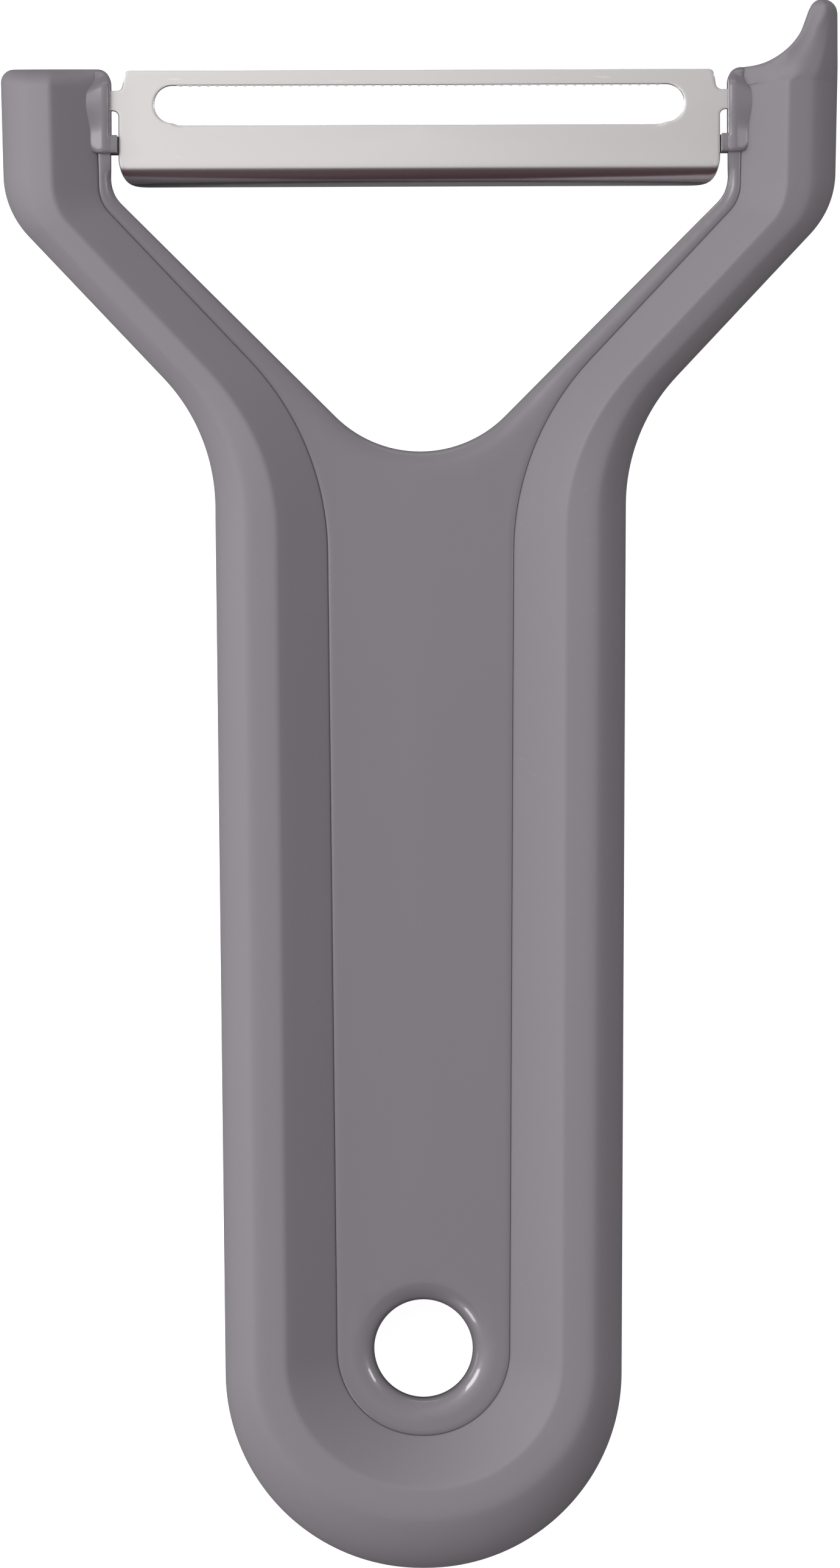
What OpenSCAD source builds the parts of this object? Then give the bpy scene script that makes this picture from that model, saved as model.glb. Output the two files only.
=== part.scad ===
// Vegetable peeler with a swivelling slotted blade, millimetres.
// It lies on its back: +X across the blade, +Y from the handle's end to the blade, +Z towards the user.
// The origin is under the middle of its outline, on the surface that it lies on.

/* [Handle] */
// Length from the end of the handle to the tops of the two arms
body_l = 134; // [128:1:142]
// Width of the handle beside the hanging hole
end_w = 35.1; // [33:0.1:37]
// Width of the handle where the arms branch off
neck_w = 36.8; // [35.5:0.1:39]
// Thickness over the front and back crests
handle_t = 12.5; // [11:0.1:15]
// Thickness of the panel between the two channels
web_t = 5; // [4:0.1:6]
// Height of the upright land that runs round the outer side
land_t = 2.9; // [1.5:0.1:4]
// Radius of the concave side where handle and arm meet
neck_r = 17; // [12:0.5:20]

/* [Arms] */
// Outer width over both arms at their elbows
head_w = 74.2; // [72.5:0.1:78]
// How far each arm leans out from its elbow to its top
arm_draft = 0.3; // [0:0.05:0.8]
// Distance from the tops of the arms down to the outer elbows
elbow_drop = 12.6; // [11:0.1:14]
// Distance from the tops of the arms down to where they leave the handle
neck_drop = 32.4; // [31:0.1:35]
// Lean of the V's edges from upright, in degrees
vee_lean = 45; // [43:0.5:47]
// Radius at the bottom of the V
throat_r = 10.7; // [8:0.1:14]
// Radius of the outer elbows
elbow_r = 8; // [6:0.5:10]
// Radius of the inner elbows
inner_elbow_r = 3.5; // [2:0.1:5]
// Radius of the corners on top of the arms
arm_corner_r = 1.2; // [0.8:0.1:1.6]
// Radius that rolls the front and back of the left arm over its top
arm_round_r = 1.7; // [1.2:0.1:2.2]

/* [Eye remover] */
// Height of the tip above the tops of the arms
horn_rise = 6; // [5.5:0.1:7]
// Width over the two rounded corners of the tip
tip_w = 2.3; // [2.1:0.05:2.5]
// Lean of the scooped side from upright, in degrees
tip_lean = 20; // [16:1:23]
// Radius of the scoop
scoop_r = 5.9; // [5:0.1:6.5]
// Thickness of the horn at its tip, front to back
tip_t = 9; // [7:0.1:10]
// Distance from the outer side to the ridge at the tip
tip_ridge = 0.9; // [0.6:0.05:1.2]
// How much lower the scooped side is than the ridge at the tip
tip_fall = 0.5; // [0.2:0.05:0.8]

/* [Soft grip] */
// Width of the rounded bevel along the handle
bevel_side = 2.7; // [2.2:0.1:3.2]
// Width of the rounded bevel at the handle's end
bevel_end = 4.7; // [3.5:0.1:5.5]
// Width of the rounded bevel along the slanted part of an arm
bevel_slant = 1.6; // [1.2:0.1:2]
// Width of the rounded bevel along the upright part of an arm
bevel_arm = 2.4; // [2:0.1:2.8]
// Width of the flat facet on the handle, from the bevel to the crest
facet_side = 2.75; // [2.2:0.05:3.2]
// Width of the facet at the handle's end
facet_end = 2.6; // [2:0.1:3.2]
// Width of the facet on the slanted part of an arm
facet_slant = 1.7; // [1.3:0.1:2.1]
// Width of the facet on the upright part of an arm
facet_arm = 2.05; // [1.7:0.05:2.4]
// Width of the sloping channel wall on the handle
wall_side = 4.55; // [3.8:0.05:5.2]
// Width of the sloping channel wall at the handle's end
wall_end = 4.6; // [3.8:0.1:5.2]
// Width of the sloping channel wall on the slanted part of an arm
wall_slant = 3.35; // [2.8:0.05:3.7]
// Width of the sloping channel wall on the upright part of an arm
wall_arm = 4.05; // [3.6:0.05:4.3]
// How much lower the outer edge of the facet is on the arms than on the handle
arm_fall = 0.55; // [0:0.05:1]
// Thickness of the grip over the edge of the hidden flange
skin_t = 2.6; // [2:0.1:3.2]

/* [Rigid core] */
// Width of the rim that the core shows along the slanted part of an arm, at the elbow
rim_slant = 1.3; // [0.8:0.05:2]
// Width of the rim along the upright part of an arm
rim_arm = 1; // [0.6:0.05:1.8]
// Thickness of the flange that runs out under the grip
flange_t = 2.4; // [1.6:0.1:3]
// Diameter of the hanging hole
hole_d = 8.8; // [7:0.1:10]
// Distance from the handle's end to the centre of the hanging hole
hole_from_end = 19.6; // [18.5:0.1:24]
// Radius that rounds both edges of the hanging hole
hole_edge_r = 1.4; // [0.8:0.1:1.8]
// Radius of the round pivot boss on each arm
boss_r = 3.8; // [3.3:0.1:4]
// Length of each pivot boss from the arm's inner face
boss_l = 3.6; // [3.4:0.1:4.2]
// Thickness of the block that carries the boss, front to back
block_t = 6.2; // [5.6:0.1:6.4]
// Width of the block from the arm's inner face
block_w = 2; // [1.6:0.1:2.4]
// Height of each stop finger
finger_h = 1.6; // [1.2:0.1:2]
// Distance from the pivot axis down to the top of each stop finger
finger_drop = 3.15; // [2.9:0.05:3.3]
// Length of each stop finger behind the blade
finger_lap = 0.9; // [0.6:0.1:1.4]

/* [Blade] */
// Thickness of the sheet
sheet_t = 0.9; // [0.6:0.05:1]
// Distance from the tops of the arms down to the pivot axis
pivot_drop = 2.8; // [2.6:0.1:3.2]
// Height of the blade above the pivot axis
blade_up = 2.7; // [2.5:0.05:2.8]
// Distance from the pivot axis down to where the sheet starts to curl back
flat_down = 5.8; // [5.6:0.1:6.6]
// Outer radius of the curled lower edge
curl_r = 1.9; // [1.5:0.1:2.4]
// Radius of the lower corners of the blade, seen from the front
blade_corner_r = 1.8; // [1.2:0.1:2.4]
// Width of the solid metal at each end of the slot
slot_end_w = 3.2; // [2.6:0.1:4]
// Distance from the pivot axis up to the cutting edge
edge_up = 1.23; // [1:0.01:1.4]
// Distance from the pivot axis down to the lower side of the slot
slot_down = 2.3; // [2:0.05:2.6]
// Pitch of the fine serrations on the cutting edge
tooth_pitch = 0.82; // [0.6:0.01:1.2]
// Depth of the fine serrations
tooth_depth = 0.12; // [0.06:0.01:0.2]
// Straight length at each end of the slot that has no serrations
tooth_margin = 1.9; // [1.8:0.1:3]
// Height of the pivot tabs
tab_h = 1.8; // [1.4:0.05:1.9]
// Length of each pivot tab inside its socket
tab_in = 2.3; // [1.8:0.1:2.6]

/* [Clearances] */
// Gap between each end of the blade and the arm beside it
blade_end_gap = 0.7; // [0.4:0.05:1.2]
// Radial clearance of the pivot tabs in their sockets
tab_clear = 0.1; // [0.05:0.01:0.15]
// Clearance at the end of each pivot tab
tab_end_clear = 0.3; // [0.2:0.05:0.5]
// Gap between the blade at rest and the stop fingers
stop_clear = 0.15; // [0.1:0.05:0.3]

/* [Hidden] */
$fn = 64;

core_colour = [0.478, 0.459, 0.482];
grip_colour = [0.510, 0.490, 0.510];
steel_colour = [0.82, 0.80, 0.79];

// Widths of bevel, facet and channel wall at the end, handle, slanted arm and upright arm
bevels = [bevel_end, bevel_side, bevel_slant, bevel_arm];
facets = [facet_end, facet_side, facet_slant, facet_arm];
walls = [wall_end, wall_side, wall_slant, wall_arm];
band_w = bevels + facets + walls;

half_t = handle_t / 2;
half_web = web_t / 2;
half_land = land_t / 2;
top_y = (body_l - horn_rise) / 2;
end_y = top_y - body_l;
tip_y = top_y + horn_rise;
gap_x = head_w / 2 - band_w[3] - rim_arm;
pivot_y = top_y - pivot_drop;
band_top_y = top_y - arm_round_r;
// Length by which a cutting shape runs past what it cuts
past = 1.5;
// Small fillet on the corners of the block and of the blade's tabs
small_r = 0.4;
// Least height between two points of a section, and half of the flat at the very end of the handle
least = 0.05;

// Steps in the arcs of the outlines
end_steps = 14;
bend_steps = 8;
throat_steps = 12;
small_steps = 4;

function unit(v) = v / norm(v);
function turned(v, a) = [v.x * cos(a) - v.y * sin(a), v.x * sin(a) + v.y * cos(a)];
function mixed(a, b, t) = a + (b - a) * t;
function flipped(points) = [for (i = [len(points) - 1:-1:0]) [-points[i].x, points[i].y]];

// Corner b of the path a, b, c moved to its left: d1 from the side ab and d2 from the side bc
function moved(a, b, c, d1, d2) =
    let (u1 = unit(b - a), u2 = unit(c - b))
    b + (d1 * u2 - d2 * u1) / cross(u1, u2);

// Half of the angle at corner b of the path a, b, c
function half_angle(a, b, c) = acos(unit(a - b) * unit(c - b)) / 2;

// Arc that rounds corner b of the path a, b, c
function arc_at(a, b, c, r, steps) =
    let (
        u = unit(a - b),
        v = unit(c - b),
        half = half_angle(a, b, c),
        centre = b + unit(u + v) * r / sin(half),
        first = b + u * r / tan(half) - centre,
        turn = sign(cross(b - a, c - b)) * (180 - 2 * half)
    )
    [for (i = [0:steps]) centre + turned(first, turn * i / steps)];

// Corners of the outer side, right half
end_c = [end_w / 2, end_y];
neck_c = [neck_w / 2, top_y - neck_drop];
elbow_c = [head_w / 2, top_y - elbow_drop];
top_c = [head_w / 2 + arm_draft, top_y];
function arm_side_x(y) = mixed(elbow_c.x, top_c.x, min((y - elbow_c.y) / elbow_drop, 1));

// Line at widths w inside the outer side, from the middle of the handle's end up the right arm;
// the widths hold at the end, along the handle, the slanted arm and the upright arm
function side_line(w, y_top) =
    let (
        end = moved([0, end_y], end_c, neck_c, w[0], w[1]),
        neck = moved(end_c, neck_c, elbow_c, w[1], w[2]),
        elbow = moved(neck_c, elbow_c, top_c, w[2], w[3]),
        top = [arm_side_x(y_top) - w[3], y_top],
        end_r = (end.x - least) * min(1, tan(half_angle([0, end.y], end, neck)))
    )
    concat(
        arc_at([0, end.y], end, neck, end_r, end_steps),
        arc_at(end, neck, elbow, neck_r + (w[1] + w[2]) / 2, bend_steps),
        arc_at(neck, elbow, top, max(elbow_r - (w[2] + w[3]) / 2, inner_elbow_r), bend_steps),
        [top]
    );

// The V between the arms, from the right arm round the throat to the left arm
inner_elbow = moved(neck_c, elbow_c, [elbow_c.x, top_y], band_w[2] + rim_slant, elbow_c.x - gap_x);
throat = [0, inner_elbow.y - gap_x / tan(vee_lean)];
right_vee = arc_at([gap_x, top_y], inner_elbow, throat, inner_elbow_r, bend_steps);
vee = concat(
    right_vee,
    arc_at(inner_elbow, throat, [-inner_elbow.x, inner_elbow.y], throat_r, throat_steps),
    flipped(right_vee)
);

// Solid between rings of equal length; seen from the second ring, the first runs clockwise
module loft(rings) {
    n = len(rings[0]);
    last = (len(rings) - 1) * n;
    sides = [
        for (k = [0:len(rings) - 2], i = [0:n - 1])
            let (a = k * n + i, b = k * n + (i + 1) % n)
            each [[a, b, a + n], [b, b + n, a + n]]
    ];
    front = [for (i = [n - 1:-1:0]) i];
    back = [for (i = [0:n - 1]) last + i];
    polyhedron(points = [for (r = rings) each r], faces = concat([front, back], sides));
}

// Rounded bevel in equal turns: how far in and how high each step lies, as shares
bevel_turn = 55;
bevel_steps = 3;
function bevel_in(i) = (1 - cos(bevel_turn * i / bevel_steps)) / (1 - cos(bevel_turn));
function bevel_up(i) = sin(bevel_turn * i / bevel_steps) / sin(bevel_turn);

edge_z = [half_t, half_t, half_t - arm_fall, half_t - arm_fall];

// A value for each point of side_line, from one value for each of its four stretches
function along(v) = [
    each [for (i = [0:end_steps]) mixed(v[0], v[1], i / end_steps)],
    each [for (i = [0:bend_steps]) mixed(v[1], v[2], i / bend_steps)],
    each [for (i = [0:bend_steps]) mixed(v[2], v[3], i / bend_steps)],
    v[3]
];
outer_line = side_line([0, 0, 0, 0], band_top_y);
groove_line = side_line(band_w, band_top_y);
bevel_shares = along([for (k = [0:3]) bevels[k] / band_w[k]]);
crest_shares = along([for (k = [0:3]) (bevels[k] + facets[k]) / band_w[k]]);
edge_heights = along(edge_z);

// Every section of the grip has these points: the bevel from its foot to the facet, crest, groove
last_bevel = bevel_steps;
function both_faces(front) =
    concat(front, [for (i = [len(front) - 1:-1:0]) [front[i].x, front[i].y, -front[i].z]]);

// Section of the band square to the outer side, at point i of the two lines
function band_slice(i, side) = both_faces(concat(
    [
        for (k = [0:last_bevel])
            let (q = mixed(outer_line[i], groove_line[i], bevel_shares[i] * bevel_in(k)))
            [side * q.x, q.y, mixed(half_land, edge_heights[i], bevel_up(k))]
    ],
    [
        let (q = mixed(outer_line[i], groove_line[i], crest_shares[i])) [side * q.x, q.y, half_t],
        [side * groove_line[i].x, groove_line[i].y, half_web]
    ]
));

// Outer side of an arm near its top, drawn in by a rounded corner
function corner_x(y, r) =
    let (over = max(y - (top_y - r), 0))
    arm_side_x(y) - r + sqrt(max(r * r - over * over, 0));

// Section of the left arm's top, where every height falls by the same quarter round
arm_edge = half_t - arm_fall;
crest_w = bevel_arm + facet_arm;
round_steps = 4;
function round_slice(i) =
    let (
        a = 90 * i / round_steps,
        y = band_top_y + arm_round_r * sin(a),
        fall = arm_round_r * (1 - cos(a)),
        side = arm_side_x(y),
        outer = corner_x(y, arm_corner_r)
    )
    both_faces(concat(
        [
            for (k = [0:last_bevel])
                [bevel_arm * bevel_in(k) - outer, y, max(mixed(half_land, arm_edge, bevel_up(k)) - fall, least)]
        ],
        [[crest_w - side, y, half_t - fall], [band_w[3] - side, y, max(half_web - fall, least)]]
    ));

// Grip's band: down from the left arm's top, round the handle's end and up the right arm
module band() {
    last = len(outer_line) - 1;
    loft(concat(
        [for (i = [round_steps:-1:1]) round_slice(i)],
        [for (i = [last:-1:1]) band_slice(i, -1)],
        [for (i = [0:last]) band_slice(i, 1)]
    ));
}

// Eye remover on the right arm: a ridge runs from the crest to the tip, with a scoop beside it
tip_x = top_c.x;
lean_turn = 90 - tip_lean;
tip_r = tip_w / (1 + tan(lean_turn / 2));
tip_c = [tip_x - tip_r, tip_y - tip_r];
// The scoop's arc starts level with the arm's top and ends at the tip's lean
scoop_end = tip_c + tip_r * [-sin(lean_turn), cos(lean_turn)];
scoop_rise = scoop_r * (1 - cos(lean_turn));
scoop_c = [
    scoop_end.x - (scoop_end.y - top_y - scoop_rise) * tan(tip_lean) - scoop_r * sin(lean_turn),
    top_y + scoop_r
];
scoop_steps = 7;
// The round of the tip is cut flat after a few turns
tip_turn = 20;
tip_last = tip_lean + 3 * tip_turn;
// Largest share of the horn's width that lies outside the ridge
ridge_share = 0.6;
// Height of the channel's wall on the right arm, carried on upwards
groove_x = top_c.x - band_w[3];
crest_x = top_c.x - crest_w;
function wall_z(x) = mixed(half_web, half_t, (x - groove_x) / (crest_x - groove_x));
function horn_slice(y, left, right) =
    let (
        t = (y - band_top_y) / (tip_y - band_top_y),
        outside = min(mixed(crest_w, tip_ridge, t), (right - left) * ridge_share),
        side_w = outside * bevel_arm / crest_w,
        ridge_z = mixed(half_t, tip_t / 2, t),
        side_z = ridge_z - arm_fall
    )
    both_faces(concat(
        [
            for (k = [0:last_bevel])
                [right - side_w * bevel_in(k), y, mixed(half_land, side_z, bevel_up(k))]
        ],
        [[right - outside, y, ridge_z], [left, y, min(wall_z(left), ridge_z - tip_fall * t)]]
    ));
horn_slices = concat(
    [band_slice(len(outer_line) - 1, 1)],
    [for (i = [0:scoop_steps])
        let (a = lean_turn * i / scoop_steps, y = scoop_c.y - scoop_r * cos(a))
        horn_slice(y, scoop_c.x + scoop_r * sin(a), arm_side_x(y))],
    [for (a = [tip_lean:tip_turn:tip_last])
        let (y = tip_c.y + tip_r * sin(a) / sin(tip_last), w = tip_r * cos(a))
        horn_slice(y, tip_c.x - w, tip_c.x + w)]
);
module horn() {
    for (i = [0:len(horn_slices) - 2])
        hull() loft([horn_slices[i], horn_slices[i + 1]]);
}

// Panel with the rim of the arms, and the flange that runs out from it under the grip
function plate(line) = concat(
    line,
    [[gap_x, line[len(line) - 1].y]],
    vee,
    [[-gap_x, line[len(line) - 1].y]],
    flipped(line)
);
panel = plate(groove_line);
flange = plate(side_line([skin_t, skin_t, skin_t, skin_t], top_y - skin_t));

module centred_extrude(h) {
    translate([0, 0, -h / 2]) linear_extrude(h) children();
}

// Bars that run along the pivot axis on both arms
module both_arms() {
    children();
    mirror([1, 0, 0]) children();
}

socket_r = norm([tab_h, sheet_t]) / 2 + tab_clear;
tab_end_x = gap_x + tab_in;
block_low_y = pivot_y - finger_drop - finger_h;

// Boss of radius r and block of thickness t that carry the blade, without the socket
module pivot_carrier(r, t, corner_r) {
    low_left = [gap_x, block_low_y];
    low_right = [gap_x + block_w, block_low_y];
    top_right = [gap_x + block_w, top_y];
    top_left = [gap_x, top_y];
    intersection() {
        translate([gap_x, pivot_y, 0])
            rotate([0, 90, 0]) cylinder(h = boss_l, r = r);
        translate([gap_x, pivot_y - r - past, -r - past])
            cube([boss_l, top_y - pivot_y + r + past, 2 * (r + past)]);
    }
    centred_extrude(t)
        polygon(concat(
            [low_left],
            arc_at(low_left, low_right, top_right, small_r, small_steps),
            [top_right],
            arc_at(top_right, top_left, low_left, corner_r, small_steps)
        ));
}

blade_x = gap_x - blade_end_gap;
finger_x = blade_x - finger_lap;
finger_front = -sheet_t / 2 - stop_clear;
module stop_finger() {
    translate([finger_x, block_low_y, -block_t / 2])
        cube([gap_x - finger_x + block_w / 2, finger_h, block_t / 2 + finger_front]);
}

hole_y = end_y + hole_from_end;
hole_edge_steps = 6;
// Hanging hole: a straight neck with both edges rounded out to the faces of the panel
module hanging_hole() {
    r = hole_d / 2;
    neck = half_web - hole_edge_r;
    edge = [
        for (i = [0:hole_edge_steps])
            let (a = 90 * i / hole_edge_steps)
            [r + hole_edge_r * (1 - cos(a)), neck + hole_edge_r * sin(a)]
    ];
    translate([0, hole_y, 0]) {
        translate([0, 0, -half_web - past]) cylinder(h = web_t + 2 * past, r = r);
        for (side = [0, 1])
            mirror([0, 0, side])
                rotate_extrude()
                    polygon(concat([[0, neck]], edge,
                        [[r + hole_edge_r, half_web + past], [0, half_web + past]]));
    }
}

module core_form() {
    centred_extrude(web_t) polygon(panel);
    centred_extrude(flange_t) polygon(flange);
    both_arms() {
        pivot_carrier(boss_r, block_t, arm_corner_r);
        stop_finger();
    }
}

module handle_core() {
    color(core_colour)
        translate([0, 0, half_t])
            difference() {
                core_form();
                hanging_hole();
                both_arms()
                    translate([gap_x - past, pivot_y, 0])
                        rotate([0, 90, 0])
                            cylinder(h = tab_in + tab_end_clear + past, r = socket_r);
            }
}

module soft_grip() {
    color(grip_colour)
        translate([0, 0, half_t])
            difference() {
                union() {
                    band();
                    horn();
                }
                centred_extrude(flange_t) polygon(flange);
                // This pocket's flat facets touch the round boss from outside, and it stays open over the block
                both_arms() pivot_carrier(boss_r / cos(180 / $fn), handle_t + past, least);
            }
}

// Front outline of the blade's right half, from the lower edge up, round the pivot tab
blade_low_y = pivot_y - flat_down - curl_r;
blade_top_y = pivot_y + blade_up;
tab_low_y = pivot_y - tab_h / 2;
tab_top_y = pivot_y + tab_h / 2;
// Above the tab the blade's end leans in by this much to each of two corners
end_lean = 0.3;
low_corner = [blade_x, blade_low_y];
tab_root_low = [blade_x, tab_low_y];
tab_root_top = [blade_x - end_lean, tab_top_y];
top_corner = [blade_x - 2 * end_lean, blade_top_y];
blade_half = concat(
    arc_at([0, blade_low_y], low_corner, tab_root_low, blade_corner_r, bend_steps),
    arc_at(low_corner, tab_root_low, [tab_end_x, tab_low_y], small_r, small_steps),
    [[tab_end_x, tab_low_y], [tab_end_x, tab_top_y]],
    arc_at([tab_end_x, tab_top_y], tab_root_top, top_corner, small_r, small_steps),
    arc_at(tab_root_top, top_corner, [0, blade_top_y], small_r, small_steps)
);

// Slot through the blade, with fine scallops along its cutting edge
slot_x = blade_x - slot_end_w;
slot_r = (edge_up + slot_down) / 2 - least / 2;
tooth_span = 2 * (slot_x - tooth_margin);
teeth = floor(tooth_span / tooth_pitch);
scallop_steps = 4;
function scallops() = [
    for (i = [0:teeth * scallop_steps])
        let (
            t = i / scallop_steps,
            x = (teeth / 2 - t) * tooth_pitch,
            bulge = sin(180 * (t - floor(t)))
        )
        [x, pivot_y + edge_up + tooth_depth * bulge]
];
slot = concat(
    arc_at([-slot_x, pivot_y - slot_down], [slot_x, pivot_y - slot_down],
        [slot_x, pivot_y + edge_up], slot_r, bend_steps),
    arc_at([slot_x, pivot_y - slot_down], [slot_x, pivot_y + edge_up],
        [-slot_x, pivot_y + edge_up], slot_r, bend_steps),
    scallops(),
    arc_at([slot_x, pivot_y + edge_up], [-slot_x, pivot_y + edge_up],
        [-slot_x, pivot_y - slot_down], slot_r, bend_steps),
    arc_at([-slot_x, pivot_y + edge_up], [-slot_x, pivot_y - slot_down],
        [slot_x, pivot_y - slot_down], slot_r, bend_steps)
);

// Sheet bent along its lower edge, as long as the tabs
module bent_sheet() {
    curl_y = pivot_y - flat_down;
    curl_z = sheet_t / 2 - curl_r;
    length = 2 * tab_end_x + past;
    translate([-length / 2, curl_y, -sheet_t / 2])
        cube([length, flat_down + blade_up + past, sheet_t]);
    translate([-length / 2, curl_y, curl_z])
        intersection() {
            rotate([0, 90, 0])
                difference() {
                    cylinder(h = length, r = curl_r);
                    translate([0, 0, -past]) cylinder(h = length + 2 * past, r = curl_r - sheet_t);
                }
            translate([-past, -curl_r - past, 0])
                cube([length + 2 * past, curl_r + past, curl_r + past]);
        }
}

module blade() {
    color(steel_colour)
        translate([0, 0, half_t])
            difference() {
                intersection() {
                    bent_sheet();
                    centred_extrude(handle_t)
                        polygon(concat(blade_half, flipped(blade_half)));
                }
                centred_extrude(handle_t) polygon(slot);
            }
}

handle_core();
soft_grip();
blade();
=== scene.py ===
"""Y-shaped vegetable peeler, modelled in detail around its packed solids.

Lengths inside the functions are millimetres, with z from the middle of the handle's thickness.
"""
import math
from types import SimpleNamespace

import bmesh
import bpy
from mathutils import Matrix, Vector
from mathutils.geometry import delaunay_2d_cdt
from mathutils.kdtree import KDTree


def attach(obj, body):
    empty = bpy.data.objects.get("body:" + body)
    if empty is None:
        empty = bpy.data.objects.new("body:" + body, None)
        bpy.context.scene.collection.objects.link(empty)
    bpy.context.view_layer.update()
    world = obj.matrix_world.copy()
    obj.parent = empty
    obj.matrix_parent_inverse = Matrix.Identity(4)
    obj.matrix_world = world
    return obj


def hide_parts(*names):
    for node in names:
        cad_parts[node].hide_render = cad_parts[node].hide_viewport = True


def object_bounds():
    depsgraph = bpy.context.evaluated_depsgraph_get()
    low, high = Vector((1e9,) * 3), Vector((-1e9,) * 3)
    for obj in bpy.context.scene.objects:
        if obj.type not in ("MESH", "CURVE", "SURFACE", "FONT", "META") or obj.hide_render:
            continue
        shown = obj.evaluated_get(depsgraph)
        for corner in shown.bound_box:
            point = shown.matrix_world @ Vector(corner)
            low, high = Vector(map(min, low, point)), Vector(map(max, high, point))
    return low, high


bl_info = {
    "name": "Vegetable peeler",
    "version": (1, 0, 0),
    "blender": (4, 5, 0),
    "location": "3D View > Sidebar > Peeler",
    "description": "Models a two-part moulded peeler handle and its swivelling slotted blade",
    "category": "Add Mesh",
}

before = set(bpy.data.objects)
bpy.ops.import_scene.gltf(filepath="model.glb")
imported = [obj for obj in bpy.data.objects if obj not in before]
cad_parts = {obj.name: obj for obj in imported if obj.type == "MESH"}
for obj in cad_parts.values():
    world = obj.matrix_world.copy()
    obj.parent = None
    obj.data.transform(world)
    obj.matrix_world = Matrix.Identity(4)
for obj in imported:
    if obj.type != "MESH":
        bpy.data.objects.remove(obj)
CAD_BOX = [list(corner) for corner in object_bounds()]
MM = 0.001
MID_Z = 0.5 * (CAD_BOX[0][2] + CAD_BOX[1][2]) / MM


# ---------------------------------------------------------------- sizes and colours

def length(label, description, mm):
    """Property for one length."""
    return bpy.props.FloatProperty(name=label, description=description, default=mm * MM,
                                   min=0.0, precision=5, unit="LENGTH", subtype="DISTANCE")


def widths(label, description, mm):
    """Property for four widths: handle's end, handle, slanted arm and upright arm."""
    return bpy.props.FloatVectorProperty(name=label, description=description, size=4, min=0.0,
                                         default=[value * MM for value in mm], precision=5,
                                         unit="LENGTH", subtype="NONE")


def colour(label, description, rgb):
    """Property for one colour."""
    return bpy.props.FloatVectorProperty(name=label, description=description, size=3,
                                         min=0.0, max=1.0, default=rgb, subtype="COLOR")


class PeelerOutline(bpy.types.PropertyGroup):
    """Outline that both plastics share"""
    body_l: length("Body length", "End of the handle to the tops of the arms", 134)
    end_w: length("End width", "Width of the handle beside the hanging hole", 35.1)
    neck_w: length("Neck width", "Width where the arms branch off", 36.8)
    handle_t: length("Thickness", "Over the front and back crests", 12.5)
    web_t: length("Panel thickness", "Between the two channels", 5)
    neck_r: length("Neck radius", "Concave side where handle and arm meet", 17)
    head_w: length("Head width", "Outer width over both elbows", 74.2)
    arm_draft: length("Arm draft", "How far each arm leans out to its top", 0.3)
    elbow_drop: length("Elbow drop", "Tops of the arms down to the outer elbows", 12.6)
    neck_drop: length("Neck drop", "Tops of the arms down to the handle", 32.4)
    throat_r: length("Throat radius", "Bottom of the V", 10.7)
    elbow_r: length("Elbow radius", "Outer elbows", 8)
    inner_elbow_r: length("Inner elbow radius", "Inner elbows", 3.5)
    rim_slant: length("Slanted rim", "Core rim at the elbow", 1.3)
    rim_arm: length("Upright rim", "Core rim along the upright arm", 1)
    horn_rise: length("Horn rise", "Tip above the tops of the arms", 6)
    bevel: widths("Bevel", "Width of the rounded bevel", (4.7, 2.7, 1.6, 2.4))
    facet: widths("Facet", "Width of the facet up to the crest", (2.6, 2.75, 1.7, 2.05))
    wall: widths("Channel wall", "Width of the sloping channel wall", (4.6, 4.55, 3.35, 4.05))


class PeelerGrip(bpy.types.PropertyGroup):
    """Soft grip with its eye remover"""
    land_t: length("Land", "Height of the upright outer land", 2.9)
    arm_fall: length("Facet fall", "Fall of the facet's outer edge on the arms", 0.55)
    skin_t: length("Skin", "Grip over the edge of the flange", 2.6)
    crest_r: length("Crest softness", "Length over which the crest is rounded", 0.32)
    shoulder_r: length("Shoulder softness", "Length over which the bevel meets the facet", 1.15)
    groove_r: length("Groove softness", "Rounding of the wall's foot", 0.25)
    arm_round_r: length("Top round", "Roll of the left arm over its top", 1.7)
    arm_end_t: length("Top land", "Height of the land on top of the arms", 2.9)
    arm_corner_r: length("Top corner", "Corner radius on top of the arms", 1.2)
    tip_w: length("Tip width", "Width over the rounded corners of the tip", 2.2)
    scoop_r: length("Scoop radius", "Radius of the scoop", 5.9)
    tip_t: length("Tip thickness", "Thickness of the horn at its tip", 9)
    tip_ridge: length("Tip ridge", "Outer side to the ridge at the tip", 0.9)
    tip_fall: length("Tip fall", "Scooped side below the ridge at the tip", 0.5)
    scoop_edge_r: length("Scoop edge", "Rounding along the scoop", 0.8)
    horn_soft_r: length("Ridge softness", "Length over which the horn's ridge is rounded", 1.1)
    tip_edge_r: length("Tip edge", "Rounding over the tip", 0.8)
    tint: colour("Grip colour", "Colour of the soft plastic", (0.222, 0.205, 0.222))


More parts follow.
